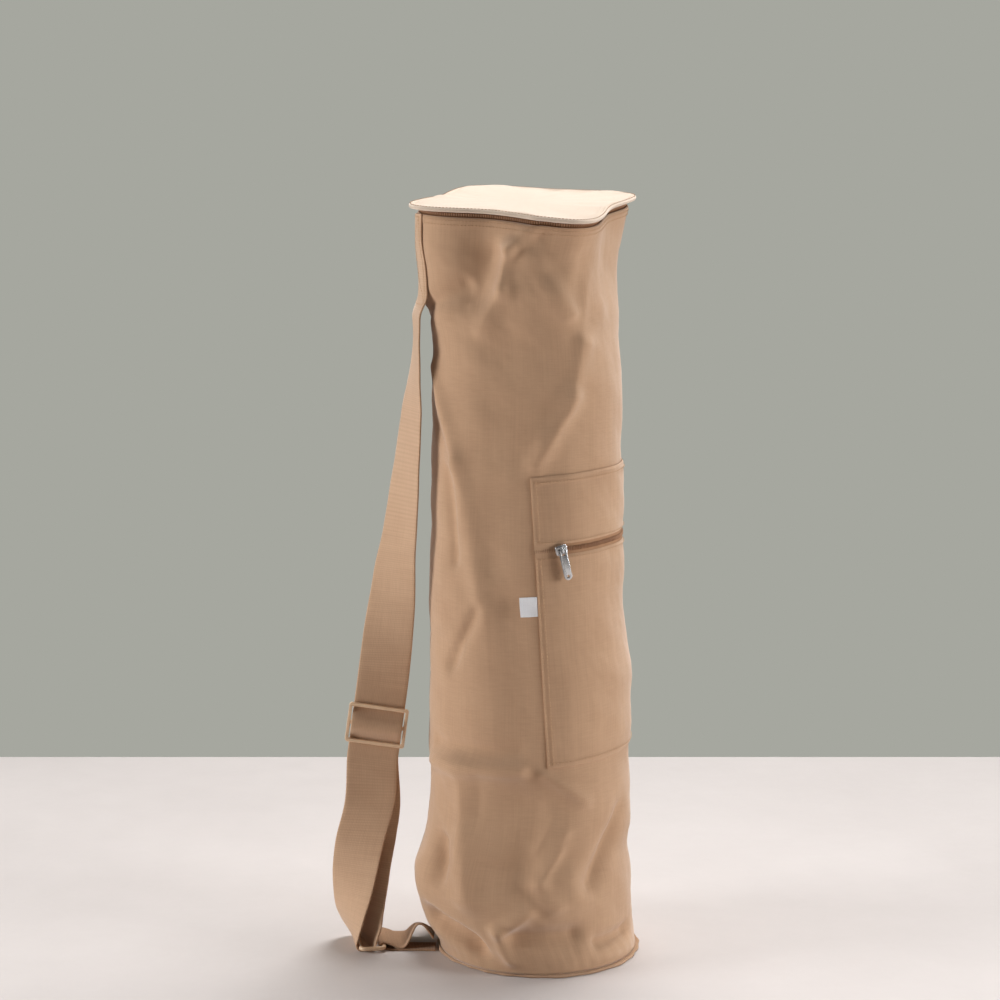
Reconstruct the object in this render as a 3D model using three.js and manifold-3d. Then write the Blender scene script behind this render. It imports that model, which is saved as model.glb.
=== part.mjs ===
// A canvas yoga mat bag that stands on its round base: an empty, slumped tube with a zipped lid,
// an outside pocket with a zip, and a webbing strap that runs from the top seam through a
// three-bar slider to a ring on the floor, which a short loop ties to the base seam.
// Millimetres and degrees, +Z up, front towards -Y, origin at the centre of the base on the floor.
import * as THREE from "three";
import { mergeVertices } from "three/addons/utils/BufferGeometryUtils.js";
import Module from "manifold-3d";

const wasm = await Module();
wasm.setup();

// Driving dimensions
const bagHeight = 700;
const bagRadius = 90;
const clothWall = 2;
const gap = 0.3;

const lidTiltBack = 6;
const lidTiltRight = -0.5;
const lidLevelLine = 58;
const lidOverhang = 4;
const lidEar = 5.5;
const lidEdge = 4;
const lidPanel = 2;
const lidZipHeight = 4.5;
const lidZipTape = 1.2;
const lidSliderLength = 10;
const lidSliderHeight = 8;
const lidSliderThickness = 3;
const lidSliderAngle = 100;

const baseThickness = 3;
const baseFlange = 7;

const pocketLeft = 7;
const pocketBottom = 197;
const pocketHeight = 266;
const pocketTilt = 3.5;
const pocketSideAngle = 14;
const pocketCloth = 1.8;
const pocketZipHeight = 199;
const pocketZipWidth = 9;
const pocketTape = 1.2;
const pocketCoilWidth = 4;
const pocketCoilRise = 2.6;

const sliderAngle = 289;
const sliderLength = 11;
const sliderWidth = 9;
const sliderThickness = 3;
const bailWire = 1.3;
const bailSpan = 3.4;
const bailRise = 1.6;
const bailWidth = 1.4;
const pullLength = 28;
const pullWidth = 7.5;
const pullThickness = 1.4;
const pullLean = 14;
const pullHole = 1.2;

const tagWidth = 15;
const tagHeight = 18;
const tagRise = 140;
const tagCloth = 1;

const strapWidth = 48;
const strapThickness = 1.8;
const strapAngle = 192;
const strapLeaves = 0.865;

const glideHeight = 217;
const glideOut = 151.5;
const glideForward = 10;
const glideRoll = 8;
const glideRail = 3;
const glideBar = 3.4;
const glideSpan = 38;
const glideThickness = 3;
const glideCorner = 2.8;

const ringOut = 160.4;
const ringBack = 2;
const ringTurn = 9;
const ringWire = 4;
const ringSpacing = 22;
const ringCorner = 4;

const anchorWidth = 46;
const anchorArch = 20;
const anchorRoll = 19;

// Sections of the bag from the base up. Height is a share of the bag's height, the rest are
// shares of its radius: how far the middle sits to the right, the half width, the half depth,
// and how far the four corners of the top stand out.
const sections = [
  { height: 0.0, right: 0.0, width: 1.035, depth: 1.035, corner: 0 },
  { height: 0.013, right: -0.02, width: 1.045, depth: 1.04, corner: 0 },
  { height: 0.04, right: -0.1, width: 1.09, depth: 1.04, corner: 0 },
  { height: 0.09, right: -0.15, width: 1.13, depth: 1.08, corner: 0 },
  { height: 0.12, right: -0.15, width: 1.12, depth: 1.06, corner: 0 },
  { height: 0.145, right: -0.135, width: 1.08, depth: 1.05, corner: 0 },
  { height: 0.18, right: -0.095, width: 1.06, depth: 1.04, corner: 0 },
  { height: 0.22, right: -0.08, width: 1.045, depth: 1.03, corner: 0 },
  { height: 0.31, right: -0.1, width: 1.04, depth: 1.02, corner: 0 },
  { height: 0.39, right: -0.095, width: 1.035, depth: 1.01, corner: 0 },
  { height: 0.43, right: -0.12, width: 1.005, depth: 1.0, corner: 0 },
  { height: 0.49, right: -0.145, width: 0.99, depth: 0.99, corner: 0 },
  { height: 0.57, right: -0.13, width: 0.983, depth: 0.98, corner: 0 },
  { height: 0.65, right: -0.13, width: 0.975, depth: 0.97, corner: 0 },
  { height: 0.77, right: -0.12, width: 0.97, depth: 0.97, corner: 0.01 },
  { height: 0.84, right: -0.139, width: 0.953, depth: 0.97, corner: 0.03 },
  { height: 0.88, right: -0.183, width: 0.985, depth: 0.985, corner: 0.05 },
  { height: 0.925, right: -0.2, width: 0.98, depth: 0.985, corner: 0.075 },
  { height: 0.96, right: -0.188, width: 0.997, depth: 0.995, corner: 0.1 },
  { height: 1.0, right: -0.155, width: 1.01, depth: 1.005, corner: 0.125 },
];
const cornerAngle = 25;

// Where the top has slumped below the lid's plane: the angle of the place, its depth and its reach,
// as shares of the bag's radius.
const slumps = [
  { angle: 297, depth: 0.095, reach: 0.62 },
  { angle: 146, depth: 0.055, reach: 0.5 },
];

// Folds and dents, each a line on the cloth from one angle and height share to another, with its
// half width and its depth as shares of the bag's radius. Ridges are positive and dents negative.
const folds = [
  { from: 276, low: 0.985, to: 285, high: 0.945, width: 0.19, depth: -0.1 },
  { from: 276, low: 1, to: 261, high: 0.966, width: 0.09, depth: 0.06 },
  { from: 261, low: 0.966, to: 258, high: 0.912, width: 0.1, depth: 0.05 },
  { from: 258, low: 0.912, to: 243, high: 0.858, width: 0.12, depth: 0.045 },
  { from: 273, low: 0.985, to: 297, high: 0.887, width: 0.11, depth: 0.055 },
  { from: 241, low: 0.97, to: 237, high: 0.92, width: 0.28, depth: -0.04 },
  { from: 232, low: 0.909, to: 186, high: 0.86, width: 0.1, depth: -0.045 },
  { from: 199, low: 0.8, to: 222, high: 0.68, width: 0.12, depth: 0.045 },
  { from: 223, low: 0.68, to: 243, high: 0.49, width: 0.13, depth: 0.045 },
  { from: 215, low: 0.67, to: 222, high: 0.55, width: 0.07, depth: -0.035 },
  { from: 326, low: 0.88, to: 306, high: 0.842, width: 0.1, depth: 0.04 },
  { from: 306, low: 0.842, to: 296, high: 0.77, width: 0.11, depth: 0.055 },
  { from: 296, low: 0.77, to: 275, high: 0.685, width: 0.11, depth: 0.055 },
  { from: 256, low: 0.84, to: 250, high: 0.52, width: 0.34, depth: -0.05 },
  { from: 240, low: 0.485, to: 219, high: 0.41, width: 0.08, depth: -0.04 },
  { from: 262, low: 0.5, to: 268, high: 0.33, width: 0.16, depth: -0.035 },
  { from: 205, low: 0.3, to: 262, high: 0.305, width: 0.08, depth: -0.035 },
  { from: 198, low: 0.27, to: 264, high: 0.277, width: 0.08, depth: 0.045 },
  { from: 279, low: 0.27, to: 302, high: 0.232, width: 0.08, depth: 0.035 },
  { from: 262, low: 0.225, to: 266, high: 0.16, width: 0.28, depth: -0.105 },
  { from: 288, low: 0.19, to: 277, high: 0.13, width: 0.09, depth: 0.045 },
  { from: 277, low: 0.125, to: 286, high: 0.095, width: 0.1, depth: 0.045 },
  { from: 294, low: 0.125, to: 298, high: 0.11, width: 0.2, depth: 0.05 },
  { from: 332, low: 0.205, to: 306, high: 0.12, width: 0.12, depth: -0.06 },
  { from: 235, low: 0.18, to: 239, high: 0.1, width: 0.14, depth: 0.05 },
  { from: 214, low: 0.165, to: 218, high: 0.12, width: 0.11, depth: -0.065 },
  { from: 196, low: 0.12, to: 202, high: 0.095, width: 0.2, depth: 0.045 },
  { from: 206, low: 0.056, to: 236, high: 0.034, width: 0.11, depth: -0.12 },
  { from: 271, low: 0.088, to: 255, high: 0.058, width: 0.08, depth: 0.05 },
  { from: 255, low: 0.058, to: 256, high: 0.02, width: 0.08, depth: 0.05 },
  { from: 262, low: 0.052, to: 294, high: 0.05, width: 0.11, depth: -0.085 },
  { from: 310, low: 0.032, to: 338, high: 0.032, width: 0.09, depth: -0.07 },
  { from: 60, low: 0.84, to: 98, high: 0.72, width: 0.17, depth: -0.06 },
  { from: 122, low: 0.56, to: 100, high: 0.4, width: 0.2, depth: 0.04 },
  { from: 150, low: 0.76, to: 138, high: 0.55, width: 0.16, depth: -0.04 },
  { from: 66, low: 0.21, to: 112, high: 0.14, width: 0.17, depth: -0.07 },
  { from: 140, low: 0.1, to: 160, high: 0.05, width: 0.14, depth: 0.04 },
];

// The strap's free stretch from its seam down to the slider: height as a share of the bag's height,
// out to the left and forward as shares of its radius, and the turn of its width away from the
// front, in degrees.
const strapFalls = [
  { height: 0.835, out: 1.27, forward: 0.22, turn: 82 },
  { height: 0.805, out: 1.26, forward: 0.22, turn: 80 },
  { height: 0.773, out: 1.27, forward: 0.21, turn: 75 },
  { height: 0.733, out: 1.3, forward: 0.2, turn: 67 },
  { height: 0.653, out: 1.36, forward: 0.19, turn: 58 },
  { height: 0.573, out: 1.43, forward: 0.17, turn: 48 },
  { height: 0.531, out: 1.475, forward: 0.16, turn: 38 },
  { height: 0.491, out: 1.505, forward: 0.15, turn: 28 },
  { height: 0.45, out: 1.545, forward: 0.13, turn: 16 },
  { height: 0.41, out: 1.58, forward: 0.11, turn: 6 },
];

// The two plies between the slider and the ring, and the stretch on the floor that joins them under
// the ring: as above, but out from the middle of the ring, as a share of the spacing of its bars.
const frontPly = [
  { height: 0.205, out: -0.091, forward: 0.08, turn: 2 },
  { height: 0.15, out: 0.359, forward: 0.09, turn: 14 },
  { height: 0.107, out: 0.605, forward: 0.07, turn: 26 },
  { height: 0.071, out: 0.748, forward: 0.04, turn: 39 },
  { height: 0.043, out: 0.83, forward: 0.02, turn: 54 },
  { height: 0.016, out: 0.764, forward: 0.0, turn: 73 },
  { height: 0.0075, out: 0.673, forward: 0.0, turn: 81 },
];
const floorPly = [
  { height: 0.0021, out: 0.582, forward: 0.0, turn: 80 },
  { height: 0.0015, out: 0.368, forward: 0.0, turn: 75 },
  { height: 0.0015, out: 0.209, forward: 0.0, turn: 72 },
  { height: 0.003, out: 0.1, forward: 0.0, turn: 70 },
  { height: 0.008, out: 0.073, forward: 0.0, turn: 68 },
];
const backPly = [
  { height: 0.014, out: 0.082, forward: 0.0, turn: 65 },
  { height: 0.032, out: 0.03, forward: -0.01, turn: 58 },
  { height: 0.056, out: 0.08, forward: -0.03, turn: 47 },
  { height: 0.107, out: 0.05, forward: -0.05, turn: 27 },
  { height: 0.15, out: -0.111, forward: -0.05, turn: 14 },
  { height: 0.195, out: -0.275, forward: -0.02, turn: 4 },
];

const radians = THREE.MathUtils.degToRad;
const smoothstep = THREE.MathUtils.smoothstep;
const upward = new THREE.Vector3(0, 0, 1);

// Sizes that follow from the driving ones
const bodyFoot = baseThickness + gap;
const bodyTop = bagHeight - lidEdge - lidZipHeight;
const riseBack = Math.tan(radians(lidTiltBack));
const riseRight = Math.tan(radians(lidTiltRight));

// Value of one column of the section table at a height share, on a smooth curve through its rows.
function sectionValue(share, column) {
  let row = 0;
  while (row < sections.length - 2 && share > sections[row + 1].height) row += 1;
  const slopeAt = (k) => {
    const below = sections[Math.max(k - 1, 0)];
    const above = sections[Math.min(k + 1, sections.length - 1)];
    return (above[column] - below[column]) / (above.height - below.height);
  };
  const low = sections[row];
  const high = sections[row + 1];
  const span = high.height - low.height;
  const t = (share - low.height) / span;
  const t2 = t * t;
  const t3 = t2 * t;
  return (
    (2 * t3 - 3 * t2 + 1) * low[column] +
    (t3 - 2 * t2 + t) * span * slopeAt(row) +
    (3 * t2 - 2 * t3) * high[column] +
    (t3 - t2) * span * slopeAt(row + 1)
  );
}

// How far the folds push the cloth outwards at an angle and height share, as a share of the radius.
function foldRise(angle, share) {
  let rise = 0;
  for (const fold of folds) {
    const around = radians(THREE.MathUtils.euclideanModulo(angle - fold.from + 180, 360) - 180);
    const up = ((share - fold.low) * bagHeight) / bagRadius;
    const alongX = radians(fold.to - fold.from);
    const alongY = ((fold.high - fold.low) * bagHeight) / bagRadius;
    const length2 = alongX * alongX + alongY * alongY;
    const t = THREE.MathUtils.clamp((around * alongX + up * alongY) / length2, 0, 1);
    const distance = Math.hypot(around - t * alongX, up - t * alongY);
    rise += fold.depth * Math.exp(-((distance / fold.width) ** 2));
  }
  return rise * smoothstep(share, 0, 0.02);
}

// How far the lid's surface stands above the bag's height over a spot: the tilt, level along one line
// in front of the middle, and the slumps.
function lidRise(x, y) {
  let rise = riseBack * (y + lidLevelLine) + riseRight * x;
  for (const { angle, depth, reach } of slumps) {
    const apart = Math.hypot(x - bagRadius * Math.cos(radians(angle)), y - bagRadius * Math.sin(radians(angle)));
    rise -= depth * bagRadius * Math.exp(-((apart / (reach * bagRadius)) ** 2));
  }
  return rise;
}

// Point of the bag's outer face at an angle and height share.
function facePoint(angle, share) {
  const turn = radians(angle);
  const corner = sectionValue(share, "corner") * Math.cos(4 * radians(angle - cornerAngle));
  const spread = 1 + corner + foldRise(angle, share);
  const right = sectionValue(share, "right");
  const x = bagRadius * (right + sectionValue(share, "width") * Math.cos(turn) * spread);
  const y = bagRadius * sectionValue(share, "depth") * Math.sin(turn) * spread;
  const tilt = lidRise(x, y) * smoothstep(share, 0.72, 1);
  return new THREE.Vector3(x, y, bodyFoot + share * (bodyTop - bodyFoot) + tilt);
}

// The same point moved off the face along its outward normal.
function offsetPoint(angle, share, offset) {
  const step = 1.5;
  const below = Math.max(share - step / bagHeight, 0);
  const above = Math.min(share + step / bagHeight, 1);
  const around = facePoint(angle + step, share).sub(facePoint(angle - step, share));
  const up = facePoint(angle, above).sub(facePoint(angle, below));
  return facePoint(angle, share).addScaledVector(around.cross(up).normalize(), offset);
}

// Angles of the mesh columns, closer together at the folded front, and height shares of its rows,
// closer together near the base and the top.
const columnCount = 42;
const frontAngle = 255;
const crowding = 0.4;
const rowStretches = [
  { to: 0.2, steps: 11 },
  { to: 0.8, steps: 15 },
  { to: 1, steps: 10 },
];

function columnAngle(column) {
  const even = (360 * column) / columnCount;
  const pull = Math.sin(radians(even - frontAngle)) + Math.sin(radians(frontAngle));
  return even - THREE.MathUtils.radToDeg(crowding * pull);
}

function rowShares() {
  const shares = [0];
  for (const stretch of rowStretches) {
    const start = shares[shares.length - 1];
    for (let k = 1; k <= stretch.steps; k += 1) {
      shares.push(start + ((stretch.to - start) * k) / stretch.steps);
    }
  }
  return shares;
}

function geometryOf(points, faces) {
  const geometry = new THREE.BufferGeometry();
  geometry.setAttribute("position", new THREE.Float32BufferAttribute(points.flatMap((p) => p.toArray()), 3));
  geometry.setIndex(faces.flat());
  geometry.computeVertexNormals();
  return geometry;
}

// Closed sheet between two grids of points, rows by columns, either wrapped into a tube or open.
function sheetGeometry(outer, inner, wraps) {
  const columns = outer[0].length;
  const rows = outer.length;
  const points = [...outer.flat(), ...inner.flat()];
  const faces = [];
  const out = (r, c) => r * columns + (c % columns);
  const inn = (r, c) => rows * columns + out(r, c);
  const quad = (a, b, c, d) => faces.push([a, b, c], [a, c, d]);
  const last = wraps ? columns : columns - 1;
  for (let c = 0; c < last; c += 1) {
    for (let r = 0; r < rows - 1; r += 1) {
      quad(out(r, c), out(r, c + 1), out(r + 1, c + 1), out(r + 1, c));
      quad(inn(r, c), inn(r + 1, c), inn(r + 1, c + 1), inn(r, c + 1));
    }
    quad(out(0, c), inn(0, c), inn(0, c + 1), out(0, c + 1));
    quad(out(rows - 1, c), out(rows - 1, c + 1), inn(rows - 1, c + 1), inn(rows - 1, c));
  }
  for (let r = 0; r < rows - 1 && !wraps; r += 1) {
    quad(out(r, 0), out(r + 1, 0), inn(r + 1, 0), inn(r, 0));
    quad(out(r, last), inn(r, last), inn(r + 1, last), out(r + 1, last));
  }
  return geometryOf(points, faces);
}

// Sheet that follows the bag's face between two offsets, over the given columns and rows.
function skinGeometry(columns, shares, innerOffset, outerOffset, wraps) {
  const layer = (offset) => shares.map((s) => columns.map((c) => offsetPoint(columnAngle(c), s, offset)));
  return sheetGeometry(layer(outerOffset), layer(innerOffset), wraps);
}

// Closed disc whose rings run from one pole to the other: each ring is a list of points.
function ringedGeometry(bottomPole, rings, topPole) {
  const columns = rings[0].length;
  const points = [bottomPole, ...rings.flat(), topPole];
  const at = (r, c) => 1 + r * columns + (c % columns);
  const top = points.length - 1;
  const faces = [];
  for (let c = 0; c < columns; c += 1) {
    faces.push([0, at(0, c + 1), at(0, c)]);
    for (let r = 0; r < rings.length - 1; r += 1) {
      faces.push([at(r, c), at(r, c + 1), at(r + 1, c + 1)], [at(r, c), at(r + 1, c + 1), at(r + 1, c)]);
    }
    faces.push([at(rings.length - 1, c), at(rings.length - 1, c + 1), top]);
  }
  return geometryOf(points, faces);
}

// Flat band swept through stations of a centre point and a width direction.
function bandGeometry(stations, width, thickness) {
  const outer = [];
  const inner = [];
  stations.forEach((station, k) => {
    const before = stations[Math.max(k - 1, 0)].centre;
    const after = stations[Math.min(k + 1, stations.length - 1)].centre;
    const across = station.across.clone().normalize();
    const normal = across.clone().cross(after.clone().sub(before)).normalize();
    const corner = (side, face) =>
      station.centre
        .clone()
        .addScaledVector(across, (side * width) / 2)
        .addScaledVector(normal, (face * thickness) / 2);
    outer.push([corner(-1, 1), corner(1, 1)]);
    inner.push([corner(-1, -1), corner(1, -1)]);
  });
  return sheetGeometry(outer, inner, false);
}

// Stations of a band on a smooth curve through its rows, with a station midway between rows.
function smoothStations(rows) {
  const centres = new THREE.CatmullRomCurve3(rows.map((row) => row.centre), false, "centripetal");
  const acrosses = new THREE.CatmullRomCurve3(rows.map((row) => row.across), false, "catmullrom", 0.5);
  const count = 2 * (rows.length - 1);
  return Array.from({ length: count + 1 }, (_, k) => ({
    centre: centres.getPoint(k / count),
    across: acrosses.getPoint(k / count),
  }));
}

// Closed loop of round wire through a list of points that lie in one plane.
function wireLoopGeometry(points, planeNormal, radius, sides) {
  const count = points.length;
  const rings = points.map((point, k) => {
    const before = points[(k + count - 1) % count];
    const after = points[(k + 1) % count];
    const outward = after.clone().sub(before).normalize().cross(planeNormal);
    return Array.from({ length: sides }, (_, s) => {
      const turn = (2 * Math.PI * (s + 0.5)) / sides;
      return point
        .clone()
        .addScaledVector(outward, radius * Math.cos(turn))
        .addScaledVector(planeNormal, radius * Math.sin(turn));
    });
  });
  const faces = [];
  const at = (k, s) => (k % count) * sides + (s % sides);
  for (let k = 0; k < count; k += 1) {
    for (let s = 0; s < sides; s += 1) {
      faces.push([at(k, s), at(k + 1, s), at(k + 1, s + 1)], [at(k, s), at(k + 1, s + 1), at(k, s + 1)]);
    }
  }
  return geometryOf(rings.flat(), faces);
}

function solidOf(geometry) {
  const bare = geometry.clone();
  bare.deleteAttribute("normal");
  bare.deleteAttribute("uv");
  const merged = mergeVertices(bare, 1e-4);
  const mesh = new wasm.Mesh({
    numProp: 3,
    vertProperties: merged.attributes.position.array,
    triVerts: new Uint32Array(merged.index.array),
  });
  return new wasm.Manifold(mesh);
}

function geometryOfSolid(solid) {
  const mesh = solid.getMesh();
  const geometry = new THREE.BufferGeometry();
  geometry.setAttribute("position", new THREE.BufferAttribute(mesh.vertProperties, 3));
  geometry.setIndex(new THREE.BufferAttribute(mesh.triVerts, 1));
  geometry.computeVertexNormals();
  return geometry;
}

// Upright plate for cutting, between two distances along the pocket's own axes from its lower left
// corner. It reaches forward and back past the bag.
function pocketCutter(left, right, bottom, top) {
  const reach = 4 * bagRadius;
  const box = new THREE.BoxGeometry(right - left, reach, top - bottom);
  box.translate((left + right) / 2, 0, (bottom + top) / 2);
  box.rotateY(-radians(pocketTilt));
  box.translate(pocketLeft, 0, pocketBottom);
  return solidOf(box);
}

// Part of the cloth layer at the pocket that lies inside a cutter.
function pocketLayer(innerOffset, outerOffset, cutter) {
  const shares = rowShares();
  const columns = [];
  const firstAngle = 255;
  for (let c = 0; c <= 2 * columnCount; c += 1) {
    const angle = columnAngle(c);
    if (angle > firstAngle && angle < 360 + pocketSideAngle) columns.push(c);
  }
  const margin = 40;
  const low = (pocketBottom - margin) / bagHeight;
  const high = (pocketBottom + pocketHeight + margin) / bagHeight;
  const rows = shares.filter((share) => share > low && share < high);
  return solidOf(skinGeometry(columns, rows, innerOffset, outerOffset, false)).intersect(cutter);
}

const canvas = new THREE.MeshStandardMaterial({ color: 0xa8866a, roughness: 0.9 });
const webbing = new THREE.MeshStandardMaterial({ color: 0xb4926f, roughness: 0.9 });
const tape = new THREE.MeshStandardMaterial({ color: 0x6e4b33, roughness: 0.85 });
const whiteCloth = new THREE.MeshStandardMaterial({ color: 0xece8e2, roughness: 0.85 });
const silver = new THREE.MeshStandardMaterial({ color: 0xc9ccd0, roughness: 0.3, metalness: 1 });
const creamPlastic = new THREE.MeshStandardMaterial({ color: 0xdeb996, roughness: 0.5 });

const bag = new THREE.Group();

function place(name, geometry, material, group = bag) {
  const mesh = new THREE.Mesh(geometry, material);
  mesh.name = name;
  group.add(mesh);
  return mesh;
}

const allColumns = Array.from({ length: columnCount }, (_, c) => c);

// Tube of cloth with its folds, open at both ends
function addBody() {
  place("body_panel", skinGeometry(allColumns, rowShares(), -clothWall, 0, true), canvas);
}

// Flat round base whose seam stands out as a flange
function addBase() {
  const radius = bagRadius + baseFlange;
  const profile = [
    { share: 0.99, height: 0 },
    { share: 1, height: 0.35 * baseThickness },
    { share: 0.99, height: baseThickness },
  ];
  const rings = profile.map(({ share, height }) =>
    allColumns.map((c) => {
      const turn = radians(columnAngle(c));
      return new THREE.Vector3(share * radius * Math.cos(turn), share * radius * Math.sin(turn), height);
    }),
  );
  const top = new THREE.Vector3(0, 0, baseThickness);
  place("base_panel", ringedGeometry(new THREE.Vector3(), rings, top), canvas);
}

// Height of the lid's surface over a spot
function lidHeight(x, y) {
  return bagHeight + lidRise(x, y);
}

// Lid with a rolled edge whose four corners stand out, tilted forwards, and a panel that sags a
// little inside it
function addLid() {
  const middle = facePoint(0, 1).add(facePoint(180, 1)).multiplyScalar(0.5);
  const onLid = (x, y, drop) => new THREE.Vector3(x, y, lidHeight(x, y) - drop);
  const sag = lidEdge - lidPanel;
  const profile = [
    { share: 0.84, inset: 0, drop: lidEdge },
    { share: 1, inset: 1, drop: lidEdge },
    { share: 1, inset: 0, drop: 0.75 * lidEdge },
    { share: 1, inset: 0, drop: 0.25 * lidEdge },
    { share: 1, inset: 1.2, drop: 0 },
    { share: 1, inset: 6, drop: 0 },
    { share: 0.88, inset: 0, drop: 0.4 * sag },
    { share: 0.5, inset: 0, drop: 0.8 * sag },
  ];
  const rings = profile.map(({ share, inset, drop }) =>
    allColumns.map((c) => {
      const rim = facePoint(columnAngle(c), 1).sub(middle).setZ(0);
      const ear = lidEar * Math.max(Math.cos(4 * radians(columnAngle(c) - cornerAngle)), 0) ** 2;
      const reach = share * (rim.length() + lidOverhang + ear) - inset;
      const spot = rim.setLength(reach).add(middle);
      return onLid(spot.x, spot.y, drop);
    }),
  );
  const low = onLid(middle.x, middle.y, lidEdge);
  const high = onLid(middle.x, middle.y, sag);
  place("lid_panel", ringedGeometry(low, rings, high), canvas);
}

// Zip band that joins the hem of the body to the lid
function addLidZip() {
  const shares = rowShares().slice(-2);
  const layer = (offset) => {
    const rows = shares.map((s) => allColumns.map((c) => offsetPoint(columnAngle(c), s, offset)));
    rows.push(rows[1].map((p) => p.clone().setZ(lidHeight(p.x, p.y) - lidEdge - gap)));
    return rows;
  };
  const face = -clothWall - gap;
  place("lid_zip", sheetGeometry(layer(face), layer(face - lidZipTape), true), tape);
}

// Slider of the lid's zip, out of sight at the back
function addLidSlider() {
  const nearest = allColumns.reduce((best, c) =>
    Math.abs(columnAngle(c) - lidSliderAngle) < Math.abs(columnAngle(best) - lidSliderAngle) ? c : best,
  );
  const left = facePoint(columnAngle(nearest), 1);
  const right = facePoint(columnAngle(nearest + 1), 1);
  const along = right.clone().sub(left).normalize();
  const outward = along.clone().cross(upward).normalize();
  const block = new THREE.BoxGeometry(lidSliderLength, lidSliderThickness, lidSliderHeight);
  block.applyMatrix4(new THREE.Matrix4().makeBasis(along, outward.clone().negate(), upward));
  const mesh = place("lid_zip_slider", block, silver);
  mesh.position.copy(left).add(right).multiplyScalar(0.5);
  mesh.position.addScaledVector(outward, 2 * gap + lidSliderThickness / 2);
  mesh.position.z += lidZipHeight - gap - lidSliderHeight / 2;
}

// Pocket in two panels with a zip between them, and a small tag in its left seam
function addPocket() {
  const bandLow = pocketZipHeight - pocketZipWidth / 2;
  const bandHigh = pocketZipHeight + pocketZipWidth / 2;
  const wide = 4 * bagRadius;
  const outer = gap + pocketCloth;
  const lower = pocketLayer(gap, outer, pocketCutter(0, wide, 0, bandLow - gap));
  place("pocket_lower", geometryOfSolid(lower), canvas);
  const upper = pocketLayer(gap, outer, pocketCutter(0, wide, bandHigh + gap, pocketHeight));
  place("pocket_upper", geometryOfSolid(upper), canvas);
  const band = pocketLayer(gap, gap + pocketTape, pocketCutter(0, wide, bandLow, bandHigh));
  const coilLow = pocketZipHeight - pocketCoilWidth / 2;
  const coilHigh = pocketZipHeight + pocketCoilWidth / 2;
  const coil = pocketLayer(gap, pocketCoilRise, pocketCutter(0, wide, coilLow, coilHigh));
  place("pocket_zip", geometryOfSolid(band.add(coil)), tape);
  const tagCutter = pocketCutter(-gap - tagWidth, -gap, tagRise, tagRise + tagHeight);
  place("side_tag", geometryOfSolid(pocketLayer(gap, gap + tagCloth, tagCutter)), whiteCloth);
}

// Frame on the pocket's zip: X along the hinge of the pull, Y out of the cloth, Z up the pull
function zipFrame() {
  const turn = radians(sliderAngle);
  const share = (pocketBottom + pocketZipHeight) / bagHeight;
  const outward = offsetPoint(sliderAngle, share, 1).sub(facePoint(sliderAngle, share)).setZ(0).normalize();
  const spot = offsetPoint(sliderAngle, share, pocketCoilRise + gap);
  const rise = Math.tan(radians(pocketTilt)) * (bagRadius * Math.cos(turn) - pocketLeft);
  spot.z = pocketBottom + pocketZipHeight + rise;
  const lean = new THREE.Matrix4().makeRotationAxis(outward, radians(pullLean));
  const up = upward.clone().applyMatrix4(lean);
  const along = outward.clone().cross(up);
  const frame = new THREE.Group();
  frame.applyMatrix4(new THREE.Matrix4().makeBasis(along, outward, up).setPosition(spot));
  bag.add(frame);
  return frame;
}

function plate(shape, depth) {
  return new THREE.ExtrudeGeometry(shape, { depth, bevelEnabled: false, curveSegments: 5 });
}

function roundedRectangle(width, height, radius, target = new THREE.Shape()) {
  const x = width / 2 - radius;
  const y = height / 2 - radius;
  target.absarc(x, y, radius, 0, Math.PI / 2);
  target.absarc(-x, y, radius, Math.PI / 2, Math.PI);
  target.absarc(-x, -y, radius, Math.PI, 1.5 * Math.PI);
  target.absarc(x, -y, radius, 1.5 * Math.PI, 2 * Math.PI);
  return target;
}

// Slider on the pocket's zip, with a bail that holds the pull's crossbar
function addZipSlider(frame) {
  const body = plate(roundedRectangle(sliderLength, sliderWidth, 2), sliderThickness);
  body.rotateX(-Math.PI / 2);
  const inside = bailSpan / 2;
  const outside = inside + bailWire;
  const foot = -bailRise - 0.5;
  const arch = new THREE.Shape([
    new THREE.Vector2(-outside, foot),
    new THREE.Vector2(-outside, bailRise),
    new THREE.Vector2(-inside, bailRise + bailWire),
    new THREE.Vector2(inside, bailRise + bailWire),
    new THREE.Vector2(outside, bailRise),
    new THREE.Vector2(outside, foot),
    new THREE.Vector2(inside, foot),
    new THREE.Vector2(inside, bailRise),
    new THREE.Vector2(-inside, bailRise),
    new THREE.Vector2(-inside, foot),
  ]);
  const bail = plate(arch, bailWidth);
  bail.translate(0, 0, -bailWidth / 2);
  bail.applyMatrix4(
    new THREE.Matrix4().makeBasis(new THREE.Vector3(0, 0, 1), new THREE.Vector3(0, 1, 0), new THREE.Vector3(-1, 0, 0)),
  );
  bail.translate(0, sliderThickness + bailRise, 0);
  place("zip_slider", geometryOfSolid(solidOf(body).add(solidOf(bail))), silver, frame);
}

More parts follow.
